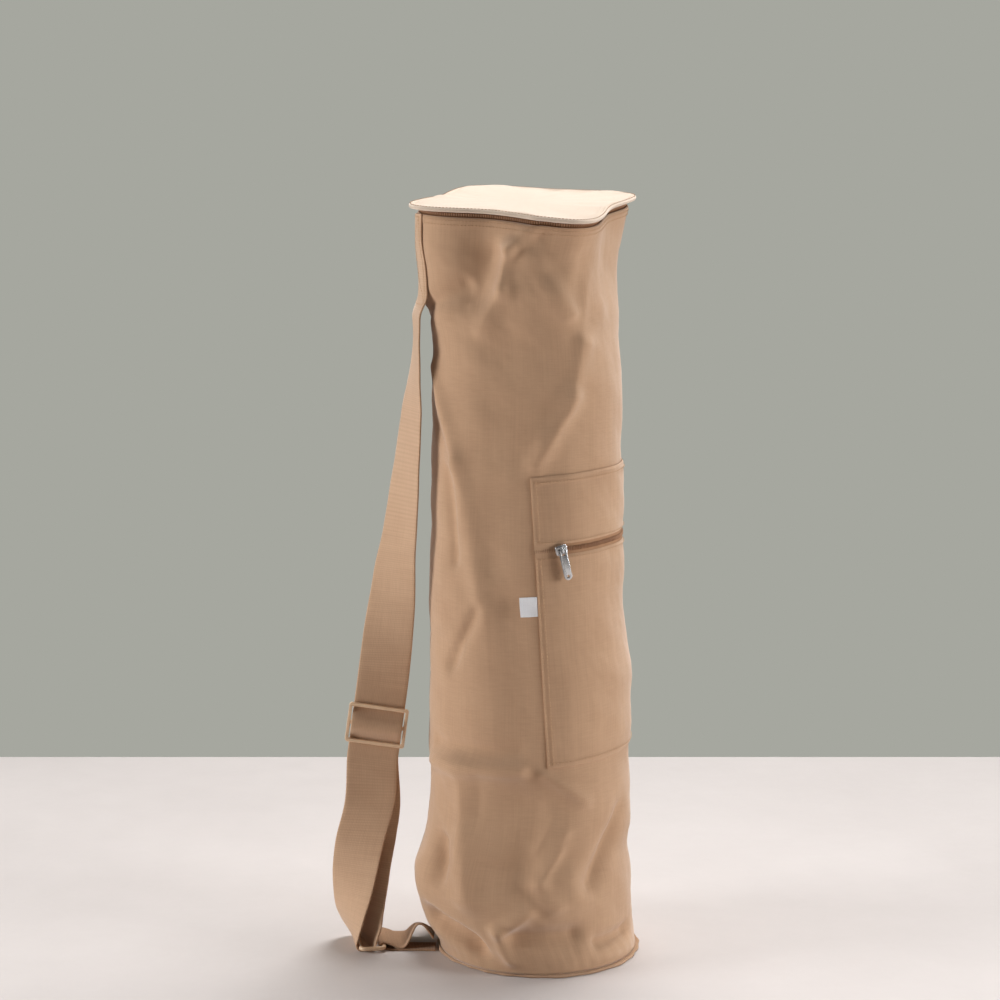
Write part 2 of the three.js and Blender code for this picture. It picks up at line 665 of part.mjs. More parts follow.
// Pull: a flat plate that hangs from its crossbar and has a round end with a small hole
function addZipPull(frame) {
  const half = pullWidth / 2;
  const bar = pullThickness / 2;
  const shape = new THREE.Shape();
  shape.moveTo(-half, bar);
  shape.lineTo(-half, half - pullLength);
  shape.absarc(0, half - pullLength, half, Math.PI, 2 * Math.PI);
  shape.lineTo(half, bar);
  shape.closePath();
  const slotHalf = bailWidth / 2 + 3 * gap;
  const slotEnd = bailSpan / 2 + bailWire + bailRise + gap;
  const slot = new THREE.Path([
    new THREE.Vector2(-slotHalf, -bar),
    new THREE.Vector2(slotHalf, -bar),
    new THREE.Vector2(slotHalf, -slotEnd),
    new THREE.Vector2(-slotHalf, -slotEnd),
  ]);
  const hole = new THREE.Path();
  hole.absarc(0, half - pullLength, pullHole, 0, 2 * Math.PI, true);
  shape.holes.push(slot, hole);
  const sheet = plate(shape, pullThickness);
  sheet.translate(0, 0, -pullThickness / 2);
  sheet.rotateX(Math.PI / 2);
  const mesh = place("zip_pull", sheet, silver, frame);
  mesh.position.y = sliderThickness + bailRise;
}

// Width direction of the strap for a turn away from the front and a roll to the right.
function acrossOf(turn, roll = 0) {
  return new THREE.Vector3(Math.cos(radians(turn)), -Math.sin(radians(turn)), -Math.sin(radians(roll)));
}

function fallRow({ height, out, forward, turn }) {
  const centre = new THREE.Vector3(-out * bagRadius, -forward * bagRadius, height * bagHeight);
  return { centre, across: acrossOf(turn) };
}

function plyRow({ height, out, forward, turn }) {
  const centre = new THREE.Vector3(-ringOut - out * ringSpacing, -forward * bagRadius, height * bagHeight);
  return { centre, across: acrossOf(turn) };
}

// Rows of the strap where it is sewn flat against the side of the bag, clear of the cloth
function sewnRows() {
  const outward = new THREE.Vector3(Math.cos(radians(strapAngle)), Math.sin(radians(strapAngle)), 0);
  const across = upward.clone().cross(outward);
  const edge = gap / bagHeight;
  return [1 - edge, 0.96, 0.91, strapLeaves].map((share) => {
    const middle = facePoint(strapAngle, share);
    let reach = 0;
    for (let turn = -20; turn <= 20; turn += 2) {
      for (const near of [-0.02, 0, 0.02]) {
        const spot = facePoint(strapAngle + turn, Math.min(share + near, 1));
        reach = Math.max(reach, spot.sub(middle).dot(outward));
      }
    }
    const centre = middle.addScaledVector(outward, reach + gap + gap + strapThickness / 2);
    return { centre, across };
  });
}

// Point in the slider's own section: down its length from the top edge, and out of its face.
function glideSpot(down, out) {
  const roll = radians(glideRoll);
  const centre = new THREE.Vector3(-glideOut, -glideForward, glideHeight);
  const below = new THREE.Vector3(-Math.sin(roll), 0, -Math.cos(roll));
  return centre.addScaledVector(below, down - glideSpan / 2).add(new THREE.Vector3(0, -out, 0));
}

function glideRows(places) {
  return places.map(([down, out]) => ({ centre: glideSpot(down, out), across: acrossOf(0, glideRoll) }));
}

// Arc of band rows round a bar of the ring, from one angle to another seen from the front.
function barRows(bar, across, from, to, steps) {
  const reach = ringWire / 2 + gap + strapThickness / 2;
  const sideways = upward.clone().cross(across).normalize();
  return Array.from({ length: steps + 1 }, (_, k) => {
    const turn = radians(from + ((to - from) * k) / steps);
    const centre = bar.clone().addScaledVector(sideways, reach * Math.cos(turn));
    centre.z += reach * Math.sin(turn);
    return { centre, across };
  });
}

const barAcross = acrossOf(90 - ringTurn);
const barLift = strapThickness + gap + ringWire / 2;

function barCentre(side) {
  const sideways = upward.clone().cross(barAcross);
  const centre = new THREE.Vector3(-ringOut, ringBack, barLift);
  return centre.addScaledVector(sideways, (side * ringSpacing) / 2);
}

// One strap: sewn at the top, through the slider, round the ring and back to the slider's bar
function addStrap() {
  const middle = glideSpan / 2;
  const behind = glideThickness / 2 + strapThickness / 2 + gap + 0.3;
  const over = behind + strapThickness + 0.8;
  const back = behind + strapThickness + 1.2;
  const barSide = glideBar / 2 + strapThickness / 2 + 2 * gap;
  const round = behind - 0.5;
  const down = [
    [-18, -behind],
    [-6, -behind],
    [glideBar + 1, -behind],
    [middle - 8, 0.25 * over],
    [middle - 4, 0.85 * over],
    [middle, over],
    [middle + 4, 0.85 * over],
    [middle + 9, 0.2 * over],
    [glideSpan - glideBar - 1, -behind],
    [glideSpan + 5, -behind],
    [glideSpan + 14, -behind],
  ];
  const up = [
    [glideSpan + 10, -back],
    [glideSpan - 2, -back],
    [middle + 9, -back + 0.4],
    [middle + 4, -behind - 0.8],
    [middle, -behind],
    [middle - barSide + 0.5, -round],
    [middle - barSide, 0],
    [middle - barSide + 0.5, round],
    [middle, behind + 0.1],
    [middle + barSide - 0.2, round],
    [middle + barSide + 1.3, 0.4],
    [middle + barSide + 3.5, -1.1],
  ];
  const rows = [
    ...sewnRows(),
    ...strapFalls.map(fallRow),
    ...glideRows(down),
    ...frontPly.map(plyRow),
    ...floorPly.map(plyRow),
    ...backPly.map(plyRow),
    ...glideRows(up),
  ];
  place("shoulder_strap", bandGeometry(smoothStations(rows), strapWidth, strapThickness), webbing);
}

// Slider with three bars that the strap is woven through
function addStrapSlider() {
  const width = strapWidth + 2 * (glideRail + 1);
  const shape = roundedRectangle(width, glideSpan, glideCorner);
  const slotWidth = width - 2 * glideRail;
  const slotHeight = (glideSpan - 3 * glideBar) / 2;
  for (const side of [-1, 1]) {
    const rise = (side * (slotHeight + glideBar)) / 2;
    const slot = new THREE.Path([
      new THREE.Vector2(-slotWidth / 2, rise - slotHeight / 2),
      new THREE.Vector2(slotWidth / 2, rise - slotHeight / 2),
      new THREE.Vector2(slotWidth / 2, rise + slotHeight / 2),
      new THREE.Vector2(-slotWidth / 2, rise + slotHeight / 2),
    ]);
    shape.holes.push(slot);
  }
  const frame = plate(shape, glideThickness);
  frame.translate(0, 0, -glideThickness / 2);
  frame.rotateX(Math.PI / 2);
  const mesh = place("strap_slider", frame, creamPlastic);
  mesh.rotation.y = radians(glideRoll);
  mesh.position.set(-glideOut, -glideForward, glideHeight);
}

// Rectangular ring of round wire that lies flat between the strap and the anchor loop
function addRing() {
  const length = strapWidth + 4 + ringWire;
  const outline = roundedRectangle(ringSpacing, length, ringCorner).extractPoints(3).shape;
  const sideways = upward.clone().cross(barAcross).normalize();
  const centre = new THREE.Vector3(-ringOut, ringBack, barLift);
  const first = outline[0];
  const open = outline.filter((p, k) => k === 0 || p.distanceTo(first) > 0.01);
  const corners = open.map((p) => centre.clone().addScaledVector(sideways, p.x).addScaledVector(barAcross, -p.y));
  place("strap_ring", wireLoopGeometry(corners, upward, ringWire / 2, 6), creamPlastic);
}

// Folded webbing from the base seam round the ring's near bar, stitched and then arched back
function addAnchorLoop() {
  const seam = bagRadius + baseFlange + gap;
  const bar = barCentre(1);
  const floor = strapThickness / 2 + gap / 2;
  const flat = floor + strapThickness + gap;
  const stretch = -seam - bar.x;
  const fromSeam = (share, height, turn, roll = 0) => ({
    centre: new THREE.Vector3(-seam - share * stretch, share * bar.y, height),
    across: acrossOf(90 - turn, -roll),
  });
  const arched = (share, rise, turn) => fromSeam(share, rise * anchorArch, turn, rise * anchorRoll);
  const rows = [
    fromSeam(0, floor, 0),
    fromSeam(0.3, floor, 3),
    fromSeam(0.65, floor, 6),
    ...barRows(bar, barAcross, 270, 90, 6),
    fromSeam(0.84, flat + 2.2, 8),
    fromSeam(0.76, flat + 0.4, 7),
    fromSeam(0.62, flat + 0.3, 7),
    arched(0.52, 0.36, 6),
    arched(0.44, 0.7, 5),
    arched(0.35, 0.96, 4),
    arched(0.24, 0.95, 3),
    arched(0.13, 0.72, 2),
    arched(0.035, 0.48, 0),
  ];
  place("anchor_loop", bandGeometry(smoothStations(rows), anchorWidth, strapThickness), webbing);
}

addBody();
addBase();
addLid();
addLidZip();
addLidSlider();
addPocket();
const zip = zipFrame();
addZipSlider(zip);
addZipPull(zip);
addStrap();
addStrapSlider();
addRing();
addAnchorLoop();

export default bag;
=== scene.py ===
import math
import bpy
import numpy as np
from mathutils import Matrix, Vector


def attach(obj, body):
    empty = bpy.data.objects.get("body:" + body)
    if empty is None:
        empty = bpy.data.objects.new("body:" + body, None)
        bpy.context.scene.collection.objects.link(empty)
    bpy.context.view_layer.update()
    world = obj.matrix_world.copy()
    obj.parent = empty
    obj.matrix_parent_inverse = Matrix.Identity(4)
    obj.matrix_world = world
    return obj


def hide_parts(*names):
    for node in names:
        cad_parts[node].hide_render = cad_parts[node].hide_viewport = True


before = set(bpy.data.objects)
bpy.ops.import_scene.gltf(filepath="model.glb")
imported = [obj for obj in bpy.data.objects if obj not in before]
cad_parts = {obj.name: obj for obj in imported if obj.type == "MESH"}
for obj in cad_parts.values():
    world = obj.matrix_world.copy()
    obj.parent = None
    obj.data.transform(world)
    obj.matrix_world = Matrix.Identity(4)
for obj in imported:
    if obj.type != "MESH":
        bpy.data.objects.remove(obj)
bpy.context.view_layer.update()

print("frame loaded")

# camera: a long lens a little above the lid's height, tipped down
cameraPlace = {"at": (-0.036, -2.11, 0.75), "tipDown": 8.65, "lens": 82.8}
bpy.ops.object.select_all(action="DESELECT")
bpy.ops.object.camera_add(location=cameraPlace["at"])
photoCamera = bpy.context.object
photoCamera.name = "photoCamera"
photoCamera.rotation_euler = (math.radians(90 - cameraPlace["tipDown"]), 0, 0)
photoCamera.data.lens = cameraPlace["lens"]
photoCamera.data.sensor_width = 36
bpy.context.scene.camera = photoCamera

# the form of the bag, the same as in the source, in metres
bag = {
    "height": 0.700, "radius": 0.090, "wall": 0.002, "foot": 0.0033, "lidEdge": 0.004,
    "zipHeight": 0.0045, "tiltBack": math.tan(math.radians(6)),
    "tiltRight": math.tan(math.radians(-0.5)), "levelLine": 0.058, "cornerAngle": 25, "gap": 0.0003,
}
bodyTop = bag["height"] - bag["lidEdge"] - bag["zipHeight"]
bodySpan = bodyTop - bag["foot"]

# height share, middle to the right, half width, half depth, corners (shares of the radius)
sectionRows = np.array([
    (0.0, 0.0, 1.035, 1.035, 0), (0.013, -0.02, 1.045, 1.04, 0), (0.04, -0.1, 1.09, 1.04, 0),
    (0.09, -0.15, 1.13, 1.08, 0), (0.12, -0.15, 1.12, 1.06, 0), (0.145, -0.135, 1.08, 1.05, 0),
    (0.18, -0.095, 1.06, 1.04, 0), (0.22, -0.08, 1.045, 1.03, 0), (0.31, -0.1, 1.04, 1.02, 0),
    (0.39, -0.095, 1.035, 1.01, 0), (0.43, -0.12, 1.005, 1.0, 0), (0.49, -0.145, 0.99, 0.99, 0),
    (0.57, -0.13, 0.983, 0.98, 0), (0.65, -0.13, 0.975, 0.97, 0), (0.77, -0.12, 0.97, 0.97, 0.01),
    (0.84, -0.139, 0.953, 0.97, 0.03), (0.88, -0.183, 0.985, 0.985, 0.05),
    (0.925, -0.2, 0.98, 0.985, 0.075), (0.96, -0.188, 0.997, 0.995, 0.1),
    (1.0, -0.155, 1.01, 1.005, 0.125),
])

# where the top has slumped below the lid's plane: angle, depth and reach (shares of the radius)
slumpRows = [(297, 0.064, 0.62), (146, 0.018, 0.5)]

# large folds: angle and height share at both ends, half width and depth (shares of the radius)
foldRows = [
    (276, 0.985, 285, 0.945, 0.19, -0.1), (276, 1, 261, 0.966, 0.09, 0.06),
    (261, 0.966, 258, 0.912, 0.1, 0.05), (258, 0.912, 243, 0.858, 0.12, 0.045),
    (273, 0.985, 297, 0.887, 0.11, 0.055), (241, 0.97, 237, 0.92, 0.28, -0.04),
    (232, 0.909, 186, 0.86, 0.1, -0.045),
    (199, 0.8, 222, 0.68, 0.12, 0.045), (223, 0.68, 243, 0.49, 0.13, 0.045),
    (215, 0.67, 222, 0.55, 0.07, -0.035), (326, 0.88, 306, 0.842, 0.12, 0.015),
    (306, 0.842, 296, 0.77, 0.12, 0.04), (296, 0.77, 275, 0.685, 0.11, 0.055),
    (256, 0.84, 250, 0.52, 0.34, -0.05),
    (240, 0.485, 219, 0.41, 0.08, -0.04), (262, 0.5, 268, 0.33, 0.16, -0.035),
    (205, 0.3, 262, 0.305, 0.08, -0.035), (198, 0.27, 264, 0.277, 0.08, 0.045),
    (279, 0.27, 302, 0.232, 0.08, 0.035), (262, 0.225, 266, 0.16, 0.28, -0.105),
    (288, 0.19, 277, 0.13, 0.09, 0.045), (277, 0.125, 286, 0.095, 0.1, 0.045),
    (294, 0.125, 298, 0.11, 0.2, 0.05), (332, 0.205, 306, 0.12, 0.12, -0.06),
    (235, 0.18, 239, 0.1, 0.14, 0.05), (214, 0.165, 218, 0.12, 0.11, -0.065),
    (196, 0.12, 202, 0.095, 0.2, 0.045), (206, 0.056, 236, 0.034, 0.11, -0.12),
    (271, 0.088, 255, 0.058, 0.08, 0.05), (255, 0.058, 256, 0.02, 0.08, 0.05),
    (262, 0.052, 294, 0.05, 0.11, -0.085), (310, 0.032, 338, 0.032, 0.09, -0.07),
    (60, 0.84, 98, 0.72, 0.17, -0.06), (122, 0.56, 100, 0.4, 0.2, 0.04),
    (150, 0.76, 138, 0.55, 0.16, -0.04), (66, 0.21, 112, 0.14, 0.17, -0.07),
    (140, 0.1, 160, 0.05, 0.14, 0.04),
]


def smoothStep(x, low, high):
    t = np.clip((x - low) / (high - low), 0, 1)
    return t * t * (3 - 2 * t)


def sectionValue(share, column):
    heights, values = sectionRows[:, 0], sectionRows[:, column]
    slopes = np.empty_like(values)
    slopes[1:-1] = (values[2:] - values[:-2]) / (heights[2:] - heights[:-2])
    slopes[0] = (values[1] - values[0]) / (heights[1] - heights[0])
    slopes[-1] = (values[-1] - values[-2]) / (heights[-1] - heights[-2])
    row = np.clip(np.searchsorted(heights, share, side="left") - 1, 0, len(heights) - 2)
    span = heights[row + 1] - heights[row]
    t = (share - heights[row]) / span
    low = (2 * t**3 - 3 * t**2 + 1) * values[row] + (t**3 - 2 * t**2 + t) * span * slopes[row]
    high = (3 * t**2 - 2 * t**3) * values[row + 1] + (t**3 - t**2) * span * slopes[row + 1]
    return low + high


def lineDistance(angle, share, start, low, end, high):
    # distance on the cloth to a line, as a share of the radius, and the side of it
    around = np.radians((angle - start + 180) % 360 - 180)
    up = (share - low) * bag["height"] / bag["radius"]
    alongX = math.radians(end - start)
    alongY = (high - low) * bag["height"] / bag["radius"]
    length = math.hypot(alongX, alongY)
    t = np.clip((around * alongX + up * alongY) / length**2, 0, 1)
    apart = np.hypot(around - t * alongX, up - t * alongY)
    side = (around * alongY - up * alongX) / length
    return apart, side, t


def foldRise(angle, share):
    rise = np.zeros(np.broadcast(angle, share).shape)
    for start, low, end, high, width, depth in foldRows:
        apart = lineDistance(angle, share, start, low, end, high)[0]
        rise += depth * np.exp(-((apart / width) ** 2))
    return rise * smoothStep(share, 0, 0.02)


def lidRise(x, y):
    # how far the lid's surface stands above the bag's height over a spot
    rise = bag["tiltBack"] * (y + bag["levelLine"]) + bag["tiltRight"] * x
    for angle, depth, reach in slumpRows:
        turn = math.radians(angle)
        apart = np.hypot(x - bag["radius"] * math.cos(turn), y - bag["radius"] * math.sin(turn))
        rise = rise - depth * bag["radius"] * np.exp(-((apart / (reach * bag["radius"])) ** 2))
    return rise


def facePoint(angle, share):
    angle, share = np.broadcast_arrays(np.asarray(angle, float), np.asarray(share, float))
    turn = np.radians(angle)
    corner = sectionValue(share, 4) * np.cos(4 * np.radians(angle - bag["cornerAngle"]))
    spread = 1 + corner + foldRise(angle, share)
    x = bag["radius"] * (sectionValue(share, 1) + sectionValue(share, 2) * np.cos(turn) * spread)
    y = bag["radius"] * sectionValue(share, 3) * np.sin(turn) * spread
    tilt = lidRise(x, y) * smoothStep(share, 0.72, 1)
    return np.stack([x, y, bag["foot"] + share * bodySpan + tilt], axis=-1)


def faceNormal(angle, share):
    around = facePoint(angle + 1.5, share) - facePoint(angle - 1.5, share)
    step = 0.0015 / bag["height"]
    up = facePoint(angle, np.minimum(share + step, 1)) - facePoint(angle, np.maximum(share - step, 0))
    normal = np.cross(around, up)
    return normal / np.linalg.norm(normal, axis=-1, keepdims=True)


# small creases: angle and height at both ends, half width, height (mm), and how much
# sharper the side to the left of the line is
creaseRows = [
    (276, 690, 261, 664, 5, 2.2, 0.4), (261, 664, 258, 629, 5, 1.6, 0.4),
    (258, 629, 243, 593, 6, 0.7, 0.3),
    (269, 672, 291, 606, 14, 3.0, 0), (230, 628, 180, 596, 5, -1.2, 0.3),
    (251, 672, 244, 630, 16, -4.2, 0), (243, 628, 226, 606, 13, -2.4, 0),
    (306, 668, 303, 606, 14, -2.6, 0),
    (200, 557, 215, 506, 5, 1.6, -0.4), (215, 506, 226, 470, 6, 1.2, -0.4),
    (225, 466, 231, 439, 6, 0.9, -0.4), (201, 507, 219, 477, 5, -1.4, 0),
    (219, 477, 223, 387, 5, -1.4, 0), (237, 417, 242, 350, 7, 1.2, 0),
    (312, 640, 303, 583, 7, 1.1, 0.3), (303, 583, 293, 522, 6, 1.3, 0.4),
    (293, 522, 274, 473, 5, 1.6, 0.4), (240, 339, 219, 288, 4, -1.0, 0),
    (206, 193, 264, 196, 7, 3.4, 0), (212, 213, 268, 207, 7, -1.2, 0),
    (276, 193, 300, 165, 3.5, 2.0, 0.3), (276, 180, 272, 140, 20, -3.2, 0),
    (226, 186, 231, 96, 9, 3.0, 0), (240, 186, 236, 110, 8, -1.6, 0),
    (283, 150, 274, 118, 5, 1.6, -0.3),
    (240, 103, 276, 100, 6, -1.2, 0), (288, 121, 278, 93, 4, 1.6, -0.3),
    (278, 80, 284, 67, 4, 1.4, 0), (331, 143, 306, 83, 5, -1.6, 0),
    (235, 117, 239, 77, 5, 1.6, 0.3), (214, 109, 219, 88, 5, -2.0, 0),
    (208, 50, 226, 40, 6, -4.6, 0), (226, 40, 243, 20, 6, -4.2, 0),
    (210, 56, 232, 48, 6, 2.0, 0),
    (271, 62, 256, 41, 4, 1.6, 0), (256, 41, 256, 15, 4, 1.4, 0),
    (258, 37, 284, 37, 5, -1.0, 0), (258, 272, 268, 205, 6, -0.8, 0),
]


def hashNoise(seed, count):
    return np.random.default_rng(seed).uniform(size=count)


def softRipple(angle, share, seed, shortest, longest, amount, waves=14):
    # a sum of slanted waves that closes round the bag; lengths in metres
    parts = hashNoise(seed, waves * 4).reshape(waves, 4)
    total = 0
    rise = share * bag["height"]
    for pick, slant, phase, lean in parts:
        size = shortest * (longest / shortest) ** pick
        around = max(1, round(2 * math.pi * bag["radius"] / size * abs(math.cos(slant * math.pi))))
        upward = 2 * math.pi / size * math.sin(slant * math.pi)
        total = total + np.sin(around * np.radians(angle) + upward * rise + phase * 6.283) * (0.4 + lean)
    return total * amount / math.sqrt(waves)


def heightShare(angle, height):
    # height share of the place on the face at a true height in mm
    share = height / 700
    for k in range(8):
        share = min(max(share + (height / 1000 - float(facePoint(angle, share)[2])) / bodySpan, 0), 1)
    return share


creaseLines = [
    (start, heightShare(start, low), end, heightShare(end, high), width, height, lean)
    for start, low, end, high, width, height, lean in creaseRows
]


def fineRise(angle, share):
    # what the small creases and the seams' puckers add to the face, in metres
    rise = np.zeros(np.broadcast(angle, share).shape)
    for start, low, end, high, width, height, lean in creaseLines:
        apart, side, t = lineDistance(angle, share, start, low, end, high)
        apart = apart * bag["radius"] * 1000
        broad = width * (1 + lean * np.tanh(side * 90 / width))
        ends = 0.35 + 0.65 * np.sin(np.pi * (0.12 + 0.76 * t))
        rise += 0.0016 * height * ends * np.exp(-(np.hypot(apart, 0.3 * width) - 0.3 * width) / broad)
    rise += softRipple(angle, share, 3, 0.030, 0.085, 0.00055)
    rise += softRipple(angle, share, 8, 0.010, 0.026, 0.00012)
    height = share * bag["height"]
    base = np.exp(-height / 0.016) * np.sin(np.radians(angle) * 46 + 2 * np.sin(np.radians(angle) * 5))
    top = np.exp(-(bag["height"] - height) / 0.014)
    top = top * np.sin(np.radians(angle) * 52 + 2.4 * np.sin(np.radians(angle) * 7))
    rise += 0.0003 * base + 0.0003 * top
    return rise * smoothStep(share, 0, 0.01) * (1 - 0.85 * smoothStep(share, 0.958, 0.986))


def clothPoint(angle, share, offset=0.0):
    lift = np.asarray(fineRise(angle, share) + offset)
    return facePoint(angle, share) + faceNormal(angle, share) * lift[..., None]


def lidLevel(x, y):
    return bag["height"] + lidRise(x, y)


# mesh helpers
def bareSelection():
    if bpy.context.object and bpy.context.object.mode != "OBJECT":
        bpy.ops.object.mode_set(mode="OBJECT")
    bpy.ops.object.select_all(action="DESELECT")


def useOnly(piece):
    bareSelection()
    piece.select_set(True)
    bpy.context.view_layer.objects.active = piece


def sheetOf(name, columns, rows, place, size=(1, 1)):
    # a grid whose corners run 0 to 1 both ways, laid where place(s, t) says
    bareSelection()
    bpy.ops.mesh.primitive_grid_add(x_subdivisions=columns, y_subdivisions=rows, size=1)
    piece = bpy.context.object
    piece.name = name
    mesh = piece.data
    mesh.name = name
    flat = np.empty(len(mesh.vertices) * 3)
    mesh.vertices.foreach_get("co", flat)
    flat = flat.reshape(-1, 3)
    spots = place(np.clip(flat[:, 0] + 0.5, 0, 1), np.clip(flat[:, 1] + 0.5, 0, 1))
    mesh.vertices.foreach_set("co", spots.ravel())
    weave = mesh.uv_layers[0]
    weave.name = "cloth"
    marks = np.empty(len(weave.data) * 2)
    weave.data.foreach_get("uv", marks)
    weave.data.foreach_set("uv", (marks.reshape(-1, 2) * np.array(size)).ravel())
    mesh.update()
    return piece


def openMesh(piece):
    useOnly(piece)
    bpy.ops.object.mode_set(mode="EDIT")
    bpy.ops.mesh.select_all(action="SELECT")


def mergeDoubles(piece, apart=1e-5, outward=True):
    openMesh(piece)
    bpy.ops.mesh.remove_doubles(threshold=apart)
    if outward:
        bpy.ops.mesh.normals_make_consistent(inside=False)
    bpy.ops.object.mode_set(mode="OBJECT")


def applied(piece, kind, **settings):
    useOnly(piece)
    made = piece.modifiers.new(kind.title(), kind)
    for key, value in settings.items():
        setattr(made, key, value)
    bpy.ops.object.modifier_apply(modifier=made.name)


def thicken(piece, thickness, offset=-1.0):
    applied(piece, "SOLIDIFY", thickness=thickness, offset=offset, use_even_offset=False)


def smoothOver(piece, angle=180):
    useOnly(piece)
    if angle >= 180:
        bpy.ops.object.shade_smooth()
    else:
        bpy.ops.object.shade_smooth_by_angle(angle=math.radians(angle))


def finishPiece(piece, material, slot, *replaces, body="bag"):
    piece.data.materials.clear()
    piece.data.materials.append(material)
    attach(piece, body)
    if replaces:
        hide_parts(*replaces)
    return piece


def joinedShapes(name, spots, alongs, outs, shape):
    # one small shape, given as corners and faces, repeated at many places in one mesh
    corners, faces = shape
    corners = np.array(corners, float)
    alongs = alongs / np.linalg.norm(alongs, axis=1, keepdims=True)
    across = np.cross(outs, alongs)
    across /= np.linalg.norm(across, axis=1, keepdims=True)
    outs = np.cross(alongs, across)
    every = (
        spots[:, None, :] + corners[None, :, 0, None] * alongs[:, None, :]
        + corners[None, :, 1, None] * across[:, None, :] + corners[None, :, 2, None] * outs[:, None, :]
    )
    count = len(corners)
    allFaces = [tuple(k * count + v for v in face) for k in range(len(spots)) for face in faces]
    mesh = bpy.data.meshes.new(name)
    mesh.from_pydata(every.reshape(-1, 3).tolist(), [], allFaces)
    mesh.update()
    piece = bpy.data.objects.new(name, mesh)
    bpy.context.collection.objects.link(piece)
    mergeDoubles(piece, 1e-6)
    return piece


def stitchShape(length, width, rise):
    # a short thread, round across and tapered at both ends
    corners, faces, sides = [], [], 6
    for along, scale in ((-0.5, 0.25), (-0.36, 0.85), (0, 1), (0.36, 0.85), (0.5, 0.25)):
        for k in range(sides):
            turn = 2 * math.pi * k / sides
            lift = rise * (scale - 0.35)
            corners.append((along * length, 0.5 * width * scale * math.cos(turn),
                            lift + 0.5 * width * scale * math.sin(turn)))
    for ring in range(4):
        for k in range(sides):
            near, far = ring * sides + k, ring * sides + (k + 1) % sides
            faces.append((near, far, far + sides, near + sides))
    faces.append(tuple(reversed(range(sides))))
    faces.append(tuple(range(4 * sides, 5 * sides)))
    return corners, faces


def runOf(path):
    # how far along a line of points each of them is
    return np.concatenate([[0], np.cumsum(np.linalg.norm(np.diff(path, axis=0), axis=1))])


def sampled(marks, run, rows):
    return np.stack([np.interp(marks, run, rows[:, k]) for k in range(3)], axis=1)


def stitchesAlong(name, path, outs, material, slot, pitch=0.0032, width=0.0006):
    # evenly spaced stitches on a line of points with a way out at each
    run = runOf(path)
    count = max(2, int(run[-1] / pitch))
    marks = (np.arange(count) + 0.5) * run[-1] / count
    alongs = sampled(marks + 0.0008, run, path) - sampled(marks - 0.0008, run, path)
    shape = stitchShape(pitch * 0.74, width, width * 0.5)
    piece = joinedShapes(name, sampled(marks, run, path), alongs, sampled(marks, run, outs), shape)
    smoothOver(piece)
    return finishPiece(piece, material, slot)


# materials
def tint(red, green, blue):
    # a colour given as screen values 0 to 255
    def linear(value):
        value = value / 255
        return value / 12.92 if value <= 0.04045 else ((value + 0.055) / 1.055) ** 2.4
    return linear(red), linear(green), linear(blue), 1.0


def addNode(tree, kind, settings=None, **values):
    node = tree.nodes.new(kind)
    for key, value in (settings or {}).items():
        setattr(node, key, value)
    for key, value in values.items():
        node.inputs[key.replace("_", " ")].default_value = value
    return node


def link(tree, source, output, target, entry):
    tree.links.new(source.outputs[output], target.inputs[entry])


def blended(tree, factorNode, factorOutput, low, high, start=0.0, end=1.0):
    # a ramp between two colours, given as screen values
    ramp = tree.nodes.new("ShaderNodeValToRGB")
    ramp.color_ramp.elements[0].position = start
    ramp.color_ramp.elements[0].color = tint(*low)
    ramp.color_ramp.elements[1].position = end
    ramp.color_ramp.elements[1].color = tint(*high)
    link(tree, factorNode, factorOutput, ramp, "Fac")
    return ramp


def multiplied(tree, first, second, amount):
    mix = addNode(tree, "ShaderNodeMix", {"data_type": "RGBA", "blend_type": "MULTIPLY"})
    mix.inputs[0].default_value = amount
    tree.links.new(first, mix.inputs[6])
    tree.links.new(second, mix.inputs[7])
    return mix.outputs[2]


def noiseOn(tree, source, output, scale, detail, roughness):
    noise = addNode(tree, "ShaderNodeTexNoise", Scale=scale, Detail=detail, Roughness=roughness)
    link(tree, source, output, noise, "Vector")
    return noise


def drawnOut(tree, marks, scale):
    mapping = addNode(tree, "ShaderNodeMapping")
    mapping.inputs["Scale"].default_value = scale
    link(tree, marks, "UV", mapping, "Vector")
    return mapping


def bumpOf(tree, source, output, strength, distance, over=None):
    bump = addNode(tree, "ShaderNodeBump", Strength=strength, Distance=distance)
    link(tree, source, output, bump, "Height")
    if over:
        link(tree, over, "Normal", bump, "Normal")
    return bump


def weaveHeight(tree, marks, pitch):
    # over and under of warp and weft, both ways along the cloth, as one height
    both = addNode(tree, "ShaderNodeMath", {"operation": "MULTIPLY"})
    for entry, direction in enumerate(("X", "Y")):
        wave = addNode(tree, "ShaderNodeTexWave", {"bands_direction": direction},
                       Scale=2 * math.pi / (20 * pitch), Distortion=0.6, Detail=1.0, Detail_Scale=2.0)
        link(tree, marks, "UV", wave, "Vector")
        link(tree, wave, "Fac", both, entry)
    return both


def newMaterial(name, **values):
    material = bpy.data.materials.new(name)
    material.use_nodes = True
    shader = material.node_tree.nodes["Principled BSDF"]
    for key, value in values.items():
        shader.inputs[key.replace("_", " ")].default_value = value
    return material, material.node_tree, shader


